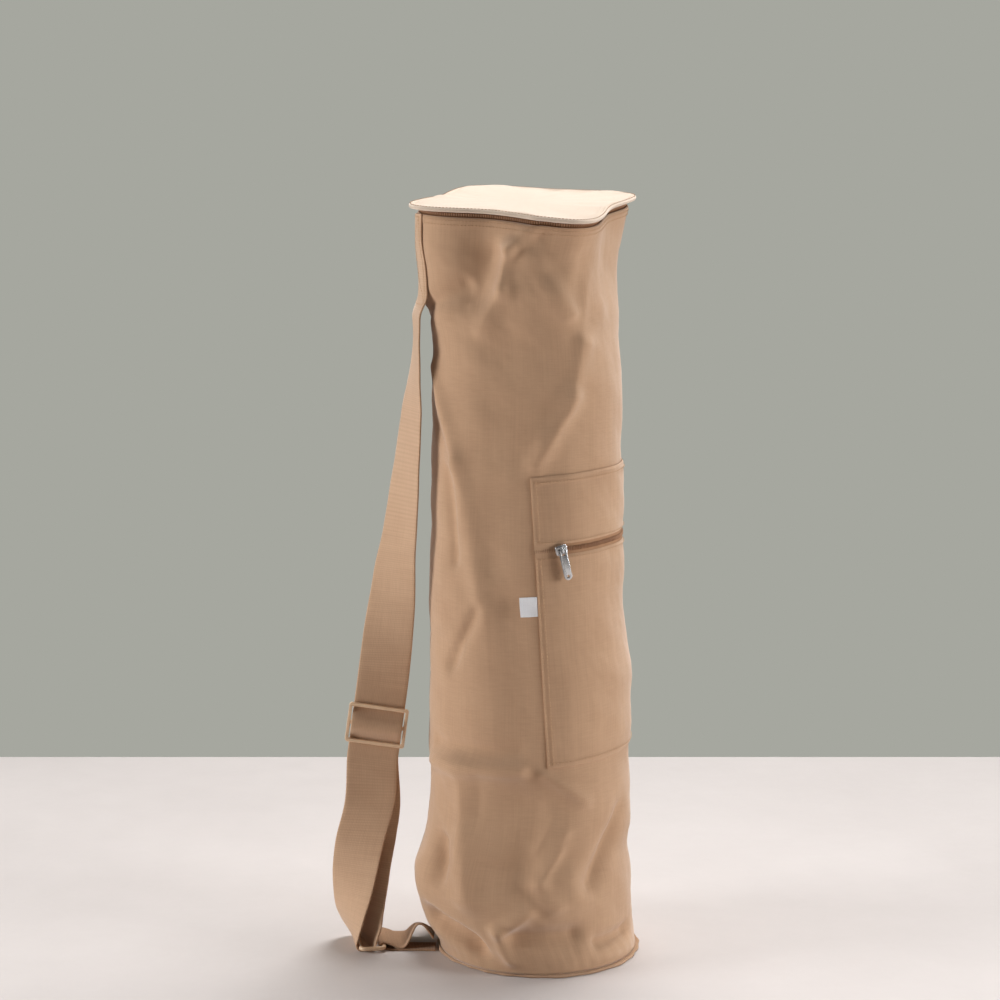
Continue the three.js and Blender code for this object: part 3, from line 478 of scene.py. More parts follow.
def clothMaterial(name, shade, light, pitch=0.0009, bump=0.2, streaks=0.06, patches=0.14, sheen=0.12):
    material, tree, shader = newMaterial(name, Roughness=0.9, Specular_IOR_Level=0.2,
                                         Sheen_Weight=sheen, Sheen_Roughness=0.5,
                                         Sheen_Tint=(1, 0.95, 0.9, 1))
    spot = addNode(tree, "ShaderNodeTexCoord")
    marks = addNode(tree, "ShaderNodeUVMap", {"uv_map": "cloth"})
    # threads up the cloth and across it: noise drawn out along one way of the map
    thread = noiseOn(tree, drawnOut(tree, marks, (700, 14, 1)), "Vector", 1.0, 4.0, 0.62)
    weft = noiseOn(tree, drawnOut(tree, marks, (40, 1100, 1)), "Vector", 1.0, 3.0, 0.6)
    weave = weaveHeight(tree, marks, pitch)
    patch = noiseOn(tree, spot, "Object", 14.0, 5.0, 0.6)
    base = blended(tree, patch, "Fac", shade, light, 0.5 - patches * 2, 0.5 + patches * 2)
    colour = base.outputs["Color"]
    for source, output, low, start, end, amount in (
        (thread, "Fac", (196, 190, 184), 0.3, 0.62, streaks * 3),
        (weft, "Fac", (206, 200, 194), 0.3, 0.6, streaks * 3),
        (weave, "Value", (222, 216, 210), 0.0, 0.6, 0.4),
    ):
        tone = blended(tree, source, output, low, (255, 255, 255), start, end)
        colour = multiplied(tree, colour, tone.outputs["Color"], amount)
    tree.links.new(colour, shader.inputs["Base Color"])
    # height: weave, thick threads and a soft hand
    fine = bumpOf(tree, weave, "Value", bump, pitch * 0.3)
    lumps = bumpOf(tree, thread, "Fac", 0.2, 0.0003, fine)
    crumple = noiseOn(tree, spot, "Object", 110.0, 4.0, 0.5)
    hand = bumpOf(tree, crumple, "Fac", 0.22, 0.0008, lumps)
    link(tree, hand, "Normal", shader, "Normal")
    return material


def plainMaterial(name, shade, light, roughness=0.5, metallic=0.0, scale=60.0, bump=0.1,
                  specular=0.5, coat=0.0):
    # moulded or cast stuff with faint mottling and handling marks
    material, tree, shader = newMaterial(name, Metallic=metallic, Specular_IOR_Level=specular,
                                         Coat_Weight=coat, Coat_Roughness=0.3)
    spot = addNode(tree, "ShaderNodeTexCoord")
    mottle = noiseOn(tree, spot, "Object", scale, 6.0, 0.6)
    base = blended(tree, mottle, "Fac", shade, light, 0.36, 0.64)
    link(tree, base, "Color", shader, "Base Color")
    scuffs = noiseOn(tree, spot, "Object", scale * 9, 4.0, 0.7)
    spread = addNode(tree, "ShaderNodeMapRange", From_Min=0.3, From_Max=0.7,
                     To_Min=roughness * 0.8, To_Max=min(1, roughness * 1.25))
    link(tree, scuffs, "Fac", spread, "Value")
    link(tree, spread, "Result", shader, "Roughness")
    grain = bumpOf(tree, scuffs, "Fac", bump, 0.0002)
    link(tree, grain, "Normal", shader, "Normal")
    return material


canvasCloth = clothMaterial("canvasCloth", (191, 152, 120), (203, 165, 132), sheen=0.45)
# the lid's canvas, paler and whiter than the body's: painted light standing in for the top light and grazing
# sheen on the lid
lidClothPaintedLight = clothMaterial("lidClothPaintedLight", (218, 197, 177), (226, 206, 187), sheen=0.4)
# the base panel's canvas, a shade darker than the body's: painted shade for the shadow on the flange at the
# floor
baseClothPaintedShade = clothMaterial("baseClothPaintedShade", (184, 148, 120), (198, 162, 132), patches=0.1)
strapWeb = clothMaterial("strapWeb", (198, 160, 128), (211, 174, 142), pitch=0.0012,
                         bump=0.12, sheen=0.45)
# a darker copy of the strap's webbing for the anchor loop: painted shade for the loop lying in shadow under
# its arch at the floor
loopWebPaintedShade = clothMaterial("loopWebPaintedShade", (178, 142, 113), (192, 156, 126), pitch=0.0012, bump=0.4)
zipCloth = clothMaterial("zipCloth", (172, 130, 98), (182, 141, 108), pitch=0.0007, sheen=0.05)
# the lid zip's tape, much darker than the pocket's zip tape: painted shade for the shadowed gap under the
# lid's rim
zipTapePaintedShade = clothMaterial("zipTapePaintedShade", (112, 78, 54), (128, 92, 66), pitch=0.0007, sheen=0.0)
zipTeeth = plainMaterial("zipTeeth", (148, 106, 74), (164, 120, 86), roughness=0.5, scale=300)
silverCast = plainMaterial("silverCast", (196, 196, 196), (220, 220, 220), roughness=0.24,
                           metallic=1.0, scale=200)
creamMoulded = plainMaterial("creamMoulded", (222, 186, 150), (232, 198, 162),
                             roughness=0.42, scale=90, coat=0.15)
tagCloth = clothMaterial("tagCloth", (246, 246, 250), (252, 252, 254), pitch=0.0004,
                         bump=0.2, streaks=0.04, patches=0.08, sheen=0.1)
canvasThread = plainMaterial("canvasThread", (186, 149, 115), (200, 164, 130),
                             roughness=0.75, scale=400, specular=0.2)
seamThread = plainMaterial("seamThread", (140, 102, 74), (158, 118, 88),
                           roughness=0.8, scale=400, specular=0.2)
strapThread = plainMaterial("strapThread", (196, 160, 126), (212, 178, 144),
                            roughness=0.7, scale=400, specular=0.2)
print("materials made")

# body: one tube of canvas with its folds, a hem at the top and a seam down the back
bodyCloth = {"columns": 190, "rows": 232, "crowding": 0.4, "front": 255, "hem": 0.0085,
             "hemRise": 0.0005, "seamAngle": 92}


def bodyAngle(s):
    even = 360 * s
    pull = np.sin(np.radians(even - bodyCloth["front"])) + math.sin(math.radians(bodyCloth["front"]))
    return even - np.degrees(bodyCloth["crowding"] * pull)


def bodyShare(t):
    return np.interp(t, [0, 0.26, 0.74, 1], [0, 0.2, 0.8, 1])


def bodySpot(s, t):
    angle, share = bodyAngle(s), bodyShare(t)
    below = (1 - share) * bodySpan
    hem = bodyCloth["hemRise"] * (1 - smoothStep(below, bodyCloth["hem"] - 0.0006, bodyCloth["hem"]))
    hem = hem - 0.0008 * (1 - smoothStep(below, 0, 0.0016))
    apart = (angle - bodyCloth["seamAngle"]) * math.pi / 180 * bag["radius"]
    lap = 0.0005 * smoothStep(apart, -0.0004, 0.0004) * (1 - smoothStep(apart, 0.008, 0.0088))
    return clothPoint(angle, share, hem + lap)


body = sheetOf("canvasBody", bodyCloth["columns"], bodyCloth["rows"], bodySpot, (0.585, 0.69))
mergeDoubles(body)
thicken(body, bag["wall"])
smoothOver(body)
finishPiece(body, canvasCloth, "canvas", "body_panel")
print("body sewn", len(body.data.polygons))

allRound = np.linspace(0, 360, 721)
for name, height in (("hemStitchLow", 0.0068), ("hemStitchHigh", 0.0030)):
    share = np.full_like(allRound, 1 - height / bodySpan)
    path = clothPoint(allRound, share, bodyCloth["hemRise"] + 0.0001)
    stitchesAlong(name, path, faceNormal(allRound, share), canvasThread, "canvas")
seamShares = np.linspace(0.01, 0.985, 400)
for name, aside in (("seamStitchLeft", 0.0016), ("seamStitchRight", 0.0066)):
    angle = np.full_like(seamShares, bodyCloth["seamAngle"] + math.degrees(aside / bag["radius"]))
    path = clothPoint(angle, seamShares, 0.0006)
    stitchesAlong(name, path, faceNormal(angle, seamShares), canvasThread, "canvas")

# base: a flat round panel whose seam stands out as a flange
basePanel = {
    "radius": 0.097, "thickness": 0.003, "columns": 150, "turnedIn": 0.0035, "turnedAt": 240,
    "turnedWidth": 42, "stitchReach": 0.0952, "stitchHeight": 0.0031,
}


def turnedIn(turn):
    # under the bulge at the left of the front the flange is turned in
    apart = (np.degrees(turn) - basePanel["turnedAt"]) / basePanel["turnedWidth"]
    return basePanel["turnedIn"] * np.exp(-(apart**2))


def baseSpot(s, t):
    turn = 2 * np.pi * s
    wave = 0.0006 * np.sin(turn * 23 + 2 * np.sin(3 * turn)) + 0.0005 * np.sin(turn * 9 + 1)
    marks = [0, 0.3, 0.42, 0.46, 0.5, 0.54, 0.58, 0.7, 1]
    reach = np.interp(t, marks, [0, 0.85, 0.985, 0.996, 1, 0.996, 0.985, 0.9, 0])
    height = np.interp(t, marks, [0, 0, 0, 0.16, 0.5, 0.84, 1, 1, 1]) * basePanel["thickness"]
    radius = reach * (basePanel["radius"] + (wave - 0.0006 - turnedIn(turn)) * (reach > 0.9))
    return np.stack([radius * np.cos(turn), radius * np.sin(turn), height], axis=-1)


base = sheetOf("canvasBase", basePanel["columns"], 34, baseSpot, (0.6, 0.2))
mergeDoubles(base)
smoothOver(base, 50)
finishPiece(base, baseClothPaintedShade, "canvas", "base_panel")
turns = np.linspace(0, 2 * math.pi, 500)
flangeReach = basePanel["stitchReach"] - turnedIn(turns)
flange = np.stack([flangeReach * np.cos(turns), flangeReach * np.sin(turns),
                   np.full_like(turns, basePanel["stitchHeight"])], axis=-1)
upward = np.tile([0.0, 0.0, 1.0], (len(turns), 1))
stitchesAlong("flangeStitch", flange, upward, canvasThread, "canvas")
print("base made")

# lid: a tilted panel with a rolled rim, sagging a little inside it
lid = {"overhang": 0.004, "ear": 0.0055, "columns": 200}
lidMiddle = (facePoint(0.0, 1.0) + facePoint(180.0, 1.0)) / 2
lidProfile = np.array([
    # share of the reach, inset, drop below the rim's plane (m)
    (0.0, 0, 0.004), (0.5, 0, 0.004), (0.9, 0, 0.004), (1, 0.0022, 0.004), (1, 0.0008, 0.0036),
    (1, 0.0001, 0.0026), (1, 0.0001, 0.0014), (1, 0.0008, 0.0004), (1, 0.0022, 0.0),
    (1, 0.0034, 0.0002), (1, 0.0044, 0.0007), (1, 0.0056, 0.0002), (1, 0.0075, 0.0001),
    (0.88, 0, 0.0008), (0.7, 0, 0.0014), (0.5, 0, 0.0016), (0.25, 0, 0.0019), (0.0, 0, 0.002),
])


def lidPlace(angle, share, inset, drop):
    # a share of the way to the rim, whose four corners are drawn out
    rim = facePoint(angle, 1.0) - lidMiddle
    rim[..., 2] = 0
    length = np.linalg.norm(rim, axis=-1)
    corner = np.maximum(np.cos(4 * np.radians(angle - bag["cornerAngle"])), 0) ** 2
    full = length + lid["overhang"] + lid["ear"] * corner
    reach = np.maximum(share * full - inset, 0)
    spot = lidMiddle + rim / length[:, None] * reach[:, None]
    spot[:, 2] = lidLevel(spot[:, 0], spot[:, 1]) - drop
    return spot


def lidSpot(s, t):
    angle = 360 * s
    marks = np.linspace(0, 1, len(lidProfile))
    share, inset, drop = (np.interp(t, marks, lidProfile[:, k]) for k in range(3))
    spot = lidPlace(angle, share, inset, drop)
    out = share * (1 - smoothStep(inset, 0, 0.02))
    ripple = 0.0005 * np.sin(np.radians(angle) * 17 + 3) * out
    sag = 0.0008 * np.sin(spot[:, 0] * 61 + spot[:, 1] * 47)
    spot[:, 2] += (ripple + sag) * (t > 0.5) * share
    return spot


lidPanel = sheetOf("canvasLid", lid["columns"], 102, lidSpot, (0.6, 0.25))
mergeDoubles(lidPanel)
smoothOver(lidPanel)
finishPiece(lidPanel, lidClothPaintedLight, "canvas", "lid_panel")
lidUp = np.tile(np.array([-bag["tiltRight"], -bag["tiltBack"], 1.0]), (len(allRound), 1))
stitchesAlong("lidStitch", lidPlace(allRound, 1.0, 0.0014, 0.0001), lidUp, seamThread, "canvas")

# zip that joins the hem to the lid, with its teeth and its slider at the back
lidZip = {"inset": 0.0023, "columns": 200, "toothPitch": 0.0022}


def lidZipSpot(s, t):
    angle = 360 * s
    low = facePoint(angle, 0.985) - faceNormal(angle, 0.985) * (lidZip["inset"] + 0.004)
    mid = facePoint(angle, 1.0) - faceNormal(angle, 1.0) * lidZip["inset"]
    high = mid.copy()
    high[:, 2] = lidLevel(high[:, 0], high[:, 1]) - bag["lidEdge"] - bag["gap"]
    lower = low + (mid - low) * np.clip(t * 2, 0, 1)[:, None]
    return lower + (high - mid) * np.clip(t * 2 - 1, 0, 1)[:, None]


zipBand = sheetOf("lidZipTape", lidZip["columns"], 8, lidZipSpot, (0.6, 0.018))
mergeDoubles(zipBand)
thicken(zipBand, 0.001)
smoothOver(zipBand)
finishPiece(zipBand, zipTapePaintedShade, "zip_tape", "lid_zip")


def toothRow(name, path, outs, pitch, size, material, slot):
    run = runOf(path)
    marks = np.arange(0.5, int(run[-1] / pitch)) * pitch
    spots = sampled(marks, run, path)
    alongs = sampled(marks + 0.0005, run, path) - spots
    corners, faces = [], []
    for across, scale in ((-0.5, 0.6), (-0.38, 1), (0.38, 1), (0.5, 0.6)):
        for along, lift in ((-0.34, 0), (-0.3, 0.7), (0, 1), (0.3, 0.7), (0.34, 0)):
            corners.append((along * pitch * scale, across * size[0], lift * size[1] * scale))
    for ring in range(3):
        for k in range(5):
            near, far = ring * 5 + k, ring * 5 + (k + 1) % 5
            faces.append((near, near + 5, far + 5, far))
    faces += [(0, 1, 2, 3, 4), (19, 18, 17, 16, 15)]
    piece = joinedShapes(name, spots, alongs, sampled(marks, run, outs), (corners, faces))
    smoothOver(piece, 60)
    return finishPiece(piece, material, slot)


ringMid = facePoint(allRound, 1.0) - faceNormal(allRound, 1.0) * lidZip["inset"]
ringHigh = lidLevel(ringMid[:, 0], ringMid[:, 1]) - bag["lidEdge"]
ringMid[:, 2] = (ringMid[:, 2] + ringHigh) / 2
toothRow("lidTeeth", ringMid, faceNormal(allRound, 1.0), lidZip["toothPitch"], (0.0026, 0.0009),
         zipTeeth, "zip_tape")
print("lid and its zip made")

# pocket: two panels wrapped round the right front, a zip between them
pocket = {
    "left": 0.007, "bottom": 0.197, "height": 0.266, "tilt": math.radians(3.5), "right": 373.7,
    "zip": 0.199, "zipWidth": 0.009, "shut": 0.00465, "shutOver": (286, 291), "hem": 0.0068, "columns": 120,
}


def pocketShare(angle, rise):
    # height share on the face for a height along the pocket's own side
    share = (pocket["bottom"] + rise) / bag["height"] * np.ones_like(angle)
    for k in range(5):
        spot = facePoint(angle, share)
        level = pocket["bottom"] + (spot[..., 0] - pocket["left"]) * math.tan(pocket["tilt"])
        level = level + rise / math.cos(pocket["tilt"])
        share = share + (level - spot[..., 2]) / bodySpan
    return share


def pocketAngle(aside, rise):
    # angle on the face for a distance from the pocket's left edge
    low, high = np.full_like(rise, 240.0), np.full_like(rise, 320.0)
    target = pocket["left"] - rise * math.sin(pocket["tilt"]) + aside * math.cos(pocket["tilt"])
    for k in range(18):
        middle = (low + high) / 2
        x = facePoint(middle, pocketShare(middle, rise))[..., 0]
        low, high = np.where(x < target, middle, low), np.where(x < target, high, middle)
    return (low + high) / 2


leftRises = np.linspace(-0.004, pocket["height"] + 0.004, 60)
leftAngles = pocketAngle(np.zeros_like(leftRises), leftRises)


def pocketPanel(name, low, high, rows, hemLow, hemHigh):
    def place(s, t):
        rise = low + t * (high - low)
        start = np.interp(rise, leftRises, leftAngles)
        angle = start + s * (pocket["right"] - start)
        # left of the slider the two panels meet over the zip
        shut = pocket["shut"] * (1 - smoothStep(angle, *pocket["shutOver"]))
        up = np.clip(t * 6 - 5, 0, 1) * (hemLow > hemHigh)
        down = np.clip(1 - t * 6, 0, 1) * (hemLow < hemHigh)
        rise = rise + shut * (up - down)
        share = pocketShare(angle, rise)
        aside = (angle - start) * math.pi / 180 * bag["radius"]
        fromEnd = (pocket["right"] - angle) * math.pi / 180 * bag["radius"]
        fromLow, fromHigh = rise - low, high - rise
        edge = np.minimum(np.minimum(aside, fromEnd), np.minimum(fromLow, fromHigh))
        offset = 0.0015 - 0.0008 * np.exp(-((edge / 0.0009) ** 2))
        offset += 0.0001 * (1 - smoothStep(aside, pocket["hem"] - 0.0006, pocket["hem"]))
        offset += 0.0004 * (1 - smoothStep(fromLow, hemLow - 0.0005, hemLow)) * (hemLow > 0)
        offset += 0.0004 * (1 - smoothStep(fromHigh, hemHigh - 0.0005, hemHigh)) * (hemHigh > 0)
        offset += 0.0011 * smoothStep(aside, 0.004, 0.03) * smoothStep(edge, 0.0, 0.02)
        return clothPoint(angle, share, offset)
    panel = sheetOf(name, pocket["columns"], rows, place, (0.145, high - low))
    thicken(panel, 0.0009)
    smoothOver(panel, 60)
    return panel


bandLow = pocket["zip"] - pocket["zipWidth"] / 2
bandHigh = pocket["zip"] + pocket["zipWidth"] / 2
lowerPanel = pocketPanel("pocketLower", 0, bandLow - bag["gap"], 120, 0.006, 0.004)
finishPiece(lowerPanel, canvasCloth, "canvas", "pocket_lower")
upperPanel = pocketPanel("pocketUpper", bandHigh + bag["gap"], pocket["height"], 44, 0.004, 0.007)
finishPiece(upperPanel, canvasCloth, "canvas", "pocket_upper")


def pocketLine(low, high, asideLow, asideHigh, offset, count=260):
    # points and ways out along a straight line on the pocket; a high aside runs to the far end
    part = np.linspace(0, 1, count)
    rise = low + (high - low) * part
    start = np.interp(rise, leftRises, leftAngles)
    aside = asideLow + (asideHigh - asideLow) * part
    angle = np.minimum(start + np.degrees(aside / bag["radius"]), pocket["right"] - 0.6)
    share = pocketShare(angle, rise)
    return clothPoint(angle, share, offset), faceNormal(angle, share)


stitchRuns = [
    ("pocketStitchLeftLow", 0.002, bandLow - 0.002, 0.0054, 0.0054),
    ("pocketStitchLeftEdge", 0.002, bandLow - 0.002, 0.0015, 0.0015),
    ("pocketStitchLeftHigh", bandHigh + 0.002, 0.264, 0.0054, 0.0054),
    ("pocketStitchTop", 0.2608, 0.2608, 0.0015, 0.15), ("pocketStitchZipLow", 0.1916, 0.1916, 0.0015, 0.15),
    ("pocketStitchZipHigh", 0.2064, 0.2064, 0.0015, 0.15), ("pocketStitchFoot", 0.0046, 0.0046, 0.0015, 0.15),
]
for name, low, high, asideLow, asideHigh in stitchRuns:
    path, outs = pocketLine(low, high, asideLow, asideHigh, 0.0025)
    stitchesAlong(name, path, outs, canvasThread, "canvas")


def zipTapeSpot(s, t):
    rise = bandLow - 0.0018 + t * (pocket["zipWidth"] + 0.0036)
    start = np.interp(rise, leftRises, leftAngles)
    angle = start + 0.6 + s * (pocket["right"] - 1.2 - start)
    share = pocketShare(angle, rise)
    wave = 0.0003 * np.sin(np.radians(angle) * 40) * np.sin(np.pi * t)
    return clothPoint(angle, share, 0.0008 + wave)


pocketTape = sheetOf("pocketZipTape", 130, 12, zipTapeSpot, (0.145, 0.0126))
thicken(pocketTape, 0.0006)
smoothOver(pocketTape, 60)
finishPiece(pocketTape, zipCloth, "zip_tape", "pocket_zip")
path, outs = pocketLine(pocket["zip"], pocket["zip"], 0.001, 0.15, 0.0010)
toothRow("pocketZipTeeth", path, outs, 0.0016, (0.0042, 0.0011), zipTeeth, "zip_tape")
print("pocket and its zip made")

# slider, pull, strap frame: the source's own solids with their edges eased
def easedCopy(node, name, width, segments):
    bareSelection()
    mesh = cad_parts[node].data.copy()
    mesh.name = name
    piece = bpy.data.objects.new(name, mesh)
    bpy.context.collection.objects.link(piece)
    openMesh(piece)
    bpy.ops.mesh.remove_doubles(threshold=1e-5)
    bpy.ops.mesh.dissolve_limited(angle_limit=math.radians(2))
    bpy.ops.object.mode_set(mode="OBJECT")
    applied(piece, "BEVEL", width=width, segments=segments, limit_method="ANGLE",
            angle_limit=math.radians(35), harden_normals=False)
    smoothOver(piece, 35)
    return piece


easedRows = [
    ("zip_slider", "pocketZipSlider", 0.0004, 3, silverCast, "silver_metal", "bag"),
    ("zip_pull", "pocketZipPull", 0.0003, 3, silverCast, "silver_metal", "pull"),
    ("lid_zip_slider", "lidZipSlider", 0.0009, 3, silverCast, "silver_metal", "bag"),
    ("strap_slider", "strapFrame", 0.0009, 4, creamMoulded, "cream_plastic", "bag"),
]
for node, name, width, segments, material, slot, rider in easedRows:
    finishPiece(easedCopy(node, name, width, segments), material, slot, node, body=rider)
print("hard pieces eased")

# side tag: a bare folded label sewn into the pocket's left seam
sideTag = {"width": 0.015, "height": 0.018, "rise": 0.140}


def tagSpot(s, t):
    rise = sideTag["rise"] + t * sideTag["height"]
    aside = -0.0003 - (1 - s) * sideTag["width"]
    angle = pocketAngle(aside, rise)
    lift = 0.0009 + 0.0016 * (1 - s) ** 2 + 0.0003 * np.sin(3 * t + 4 * s)
    return clothPoint(angle, pocketShare(angle, rise), lift)


tag = sheetOf("sideTag", 24, 26, tagSpot, (sideTag["width"], sideTag["height"]))
thicken(tag, 0.0007)
applied(tag, "BEVEL", width=0.00018, segments=2, limit_method="ANGLE", angle_limit=math.radians(50))
smoothOver(tag, 60)
finishPiece(tag, tagCloth, "tag_cloth", "side_tag")

# strap: one webbing band from the top seam to the slider, the ring and back
strap = {
    "width": 0.048, "thickness": 0.0018, "angle": 192, "frameAt": (-0.1515, -0.010, 0.217),
    "frameRoll": 8, "frameBar": 0.0034, "frameSpan": 0.038, "frameThickness": 0.003,
    "sewnOver": (0.862, 0.91), "sewnLift": 0.0012,
}
ring = {"at": (-0.1604, 0.002), "turn": 9, "wire": 0.004, "spacing": 0.022, "corner": 0.004}

# height share, out to the left and forward (shares of the radius), turn of the width (degrees)
strapTop = [
    (0.991, 1.25, 0.24, 78), (0.955, 1.25, 0.24, 78), (0.91, 1.245, 0.23, 79), (0.865, 1.245, 0.23, 81),
]
strapFalls = [
    (0.835, 1.245, 0.22, 82), (0.805, 1.25, 0.22, 80), (0.773, 1.27, 0.21, 75),
    (0.733, 1.3, 0.2, 67), (0.653, 1.36, 0.19, 58), (0.573, 1.43, 0.17, 48),
    (0.531, 1.475, 0.16, 38), (0.491, 1.505, 0.15, 28), (0.45, 1.545, 0.13, 16),
    (0.41, 1.58, 0.11, 6),
]
# the two plies under the frame and the stretch on the floor that joins them: as above, but out
# from the middle of the ring as a share of the spacing of its bars
frontPly = [
    (0.205, -0.091, 0.08, 2), (0.15, 0.359, 0.09, 14), (0.107, 0.605, 0.07, 26),
    (0.071, 0.748, 0.04, 39), (0.043, 0.83, 0.02, 54), (0.016, 0.764, 0.0, 73),
    (0.0075, 0.673, 0.0, 81),
]
floorPly = [
    (0.0021, 0.582, 0.0, 80), (0.0015, 0.368, 0.0, 75), (0.0015, 0.209, 0.0, 72),
    (0.003, 0.1, 0.0, 70), (0.008, 0.073, 0.0, 68),
]
backPly = [
    (0.014, 0.082, 0.0, 65), (0.032, 0.03, -0.01, 58), (0.056, 0.08, -0.03, 47),
    (0.107, 0.05, -0.05, 27), (0.15, -0.111, -0.05, 14), (0.195, -0.275, -0.02, 4),
]


def acrossOf(turn, roll=0.0):
    turn, roll = math.radians(turn), math.radians(roll)
    return np.array([math.cos(turn), -math.sin(turn), -math.sin(roll)])


def fallRow(row):
    share, out, forward, turn = row
    centre = np.array([-out * bag["radius"], -forward * bag["radius"], share * bag["height"]])
    return centre, acrossOf(turn)


def plyRow(row):
    share, out, forward, turn = row
    across = ring["at"][0] - out * ring["spacing"]
    return np.array([across, -forward * bag["radius"], share * bag["height"]]), acrossOf(turn)


def frameRows(places):
    roll = math.radians(strap["frameRoll"])
    below = np.array([-math.sin(roll), 0, -math.cos(roll)])
    rows = []
    for down, out in places:
        centre = np.array(strap["frameAt"]) + below * (down / 1000 - strap["frameSpan"] / 2)
        rows.append((centre + np.array([0, -out / 1000, 0]), acrossOf(0, strap["frameRoll"])))
    return rows


barAcross = acrossOf(90 - ring["turn"])
barLift = strap["thickness"] + bag["gap"] + ring["wire"] / 2
sideways = np.cross([0.0, 0.0, 1.0], barAcross)
ringCentre = np.array([ring["at"][0], ring["at"][1], barLift])


def barCentre(side):
    return ringCentre + sideways * side * ring["spacing"] / 2


def barRows(bar, first, last, steps):
    reach = ring["wire"] / 2 + bag["gap"] + strap["thickness"] / 2
    rows = []
    for k in range(steps + 1):
        turn = math.radians(first + (last - first) * k / steps)
        rows.append((bar + sideways * reach * math.cos(turn) + np.array([0, 0, reach * math.sin(turn)]),
                     barAcross))
    return rows


def throughRows(points, perSpan, even=False):
    # a smooth curve through rows of points, perSpan steps from each row to the next
    points = np.array(points)
    ends = [2 * points[0] - points[1], 2 * points[-1] - points[-2]]
    padded = np.vstack([ends[0], points, ends[1]])
    made = []
    for k in range(len(points) - 1):
        p0, p1, p2, p3 = padded[k:k + 4]
        if even:
            first, second = (p2 - p0) / 2, (p3 - p1) / 2
        else:
            d0, d1, d2 = (
                math.sqrt(max(np.linalg.norm(b - a), 1e-9)) for a, b in ((p0, p1), (p1, p2), (p2, p3))
            )
            first = ((p1 - p0) / d0 - (p2 - p0) / (d0 + d1) + (p2 - p1) / d1) * d1
            second = ((p2 - p1) / d1 - (p3 - p1) / (d1 + d2) + (p3 - p2) / d2) * d1
        last = perSpan + 1 if k == len(points) - 2 else perSpan
        for j in range(last):
            t = j / perSpan
            made.append((2 * t**3 - 3 * t**2 + 1) * p1 + (t**3 - 2 * t**2 + t) * first
                        + (3 * t**2 - 2 * t**3) * p2 + (t**3 - t**2) * second)
    return np.array(made)


def bandOf(name, rows, width, thickness, perSpan=6, ply=15, wear=0.0, shaped=None):
    # a flat band with rounded selvedges, closed at both ends
    centres = throughRows([row[0] for row in rows], perSpan)
    acrosses = throughRows([row[1] for row in rows], perSpan, even=True)
    acrosses /= np.linalg.norm(acrosses, axis=1, keepdims=True)
    count = len(centres)
    before, after = np.maximum(np.arange(count) - 1, 0), np.minimum(np.arange(count) + 1, count - 1)
    normals = np.cross(acrosses, centres[after] - centres[before])
    normals /= np.linalg.norm(normals, axis=1, keepdims=True)
    run = runOf(centres)
    half, curl = width / 2 - thickness / 2, thickness / 2
    profile = [(x, curl) for x in np.linspace(-half, half, ply)]
    profile += [(half + curl * math.sin(a), curl * math.cos(a)) for a in (0.6, 1.2, 1.94, 2.54)]
    profile += [(x, -curl) for x in np.linspace(half, -half, ply)]
    profile += [(-half - curl * math.sin(a), -curl * math.cos(a)) for a in (0.6, 1.2, 1.94, 2.54)]
    profile.append(profile[0])
    profile = np.array(profile)

    def place(s, t):
        k = np.rint(s * (count - 1)).astype(int)
        j = np.rint(t * (len(profile) - 1)).astype(int)
        x, lift = profile[j, 0], profile[j, 1]
        soft = wear * np.sin(run[k] * 71 + x * 40) + wear * 0.6 * np.sin(run[k] * 163 - x * 90)
        spots = centres[k] + acrosses[k] * x[:, None] + normals[k] * (lift + soft)[:, None]
        return spots if shaped is None else shaped(spots, x, lift)

    piece = sheetOf(name, count - 1, len(profile) - 1, place, (run[-1], 2 * width + thickness))
    mergeDoubles(piece, 1e-6, outward=False)
    openMesh(piece)
    bpy.ops.mesh.fill_holes(sides=0)
    bpy.ops.mesh.select_all(action="SELECT")
    bpy.ops.mesh.normals_make_consistent(inside=False)
    bpy.ops.object.mode_set(mode="OBJECT")
    smoothOver(piece, 70)
    return piece, centres, acrosses, normals


# the band's way through the frame: how far down it and out of it, in mm
middle, clear = strap["frameSpan"] / 2 * 1000, bag["gap"] * 1000
halfFrame, halfBar = strap["frameThickness"] / 2 * 1000, strap["frameBar"] / 2 * 1000
halfPly = strap["thickness"] / 2 * 1000
behind = halfFrame + halfPly + 2 * clear
over, back = behind + 2 * halfPly + 0.8, behind + 2 * halfPly + 1.2
barSide, around = halfBar + halfPly + 2 * clear, behind - 0.5
downPlaces = [
    (-18, -behind), (-6, -behind), (4.4, -behind), (middle - 8, 0.25 * over),
    (middle - 4, 0.85 * over), (middle, over), (middle + 4, 0.85 * over), (middle + 9, 0.2 * over),
    (33.6, -behind), (43, -behind), (52, -behind),
]
upPlaces = [
    (48, -back), (36, -back), (middle + 9, -back + 0.4), (middle + 4, -behind - 0.8),
    (middle, -behind), (middle - barSide + 0.5, -around), (middle - barSide, 0),
    (middle - barSide + 0.5, around), (middle, behind + 0.1), (middle + barSide - 0.2, around),
    (middle + barSide + 1.3, 0.4), (middle + barSide + 3.5, -1.1),
]


def sewnFlat(spots, x, lift):
    # near the top the band follows the cloth that it is sewn to
    share = np.clip((spots[:, 2] - bag["foot"] - 0.006) / bodySpan, 0, 1)
    for k in range(4):
        share = share + (spots[:, 2] - facePoint(strap["angle"], share)[:, 2]) / bodySpan
        share = np.clip(share, 0, 1)
    weight = smoothStep(share, *strap["sewnOver"])[:, None]
    angle = strap["angle"] + np.degrees(x / bag["radius"])
    laid = clothPoint(angle, share, strap["sewnLift"] - lift)
    laid[:, 2] = spots[:, 2]
    return spots * (1 - weight) + laid * weight


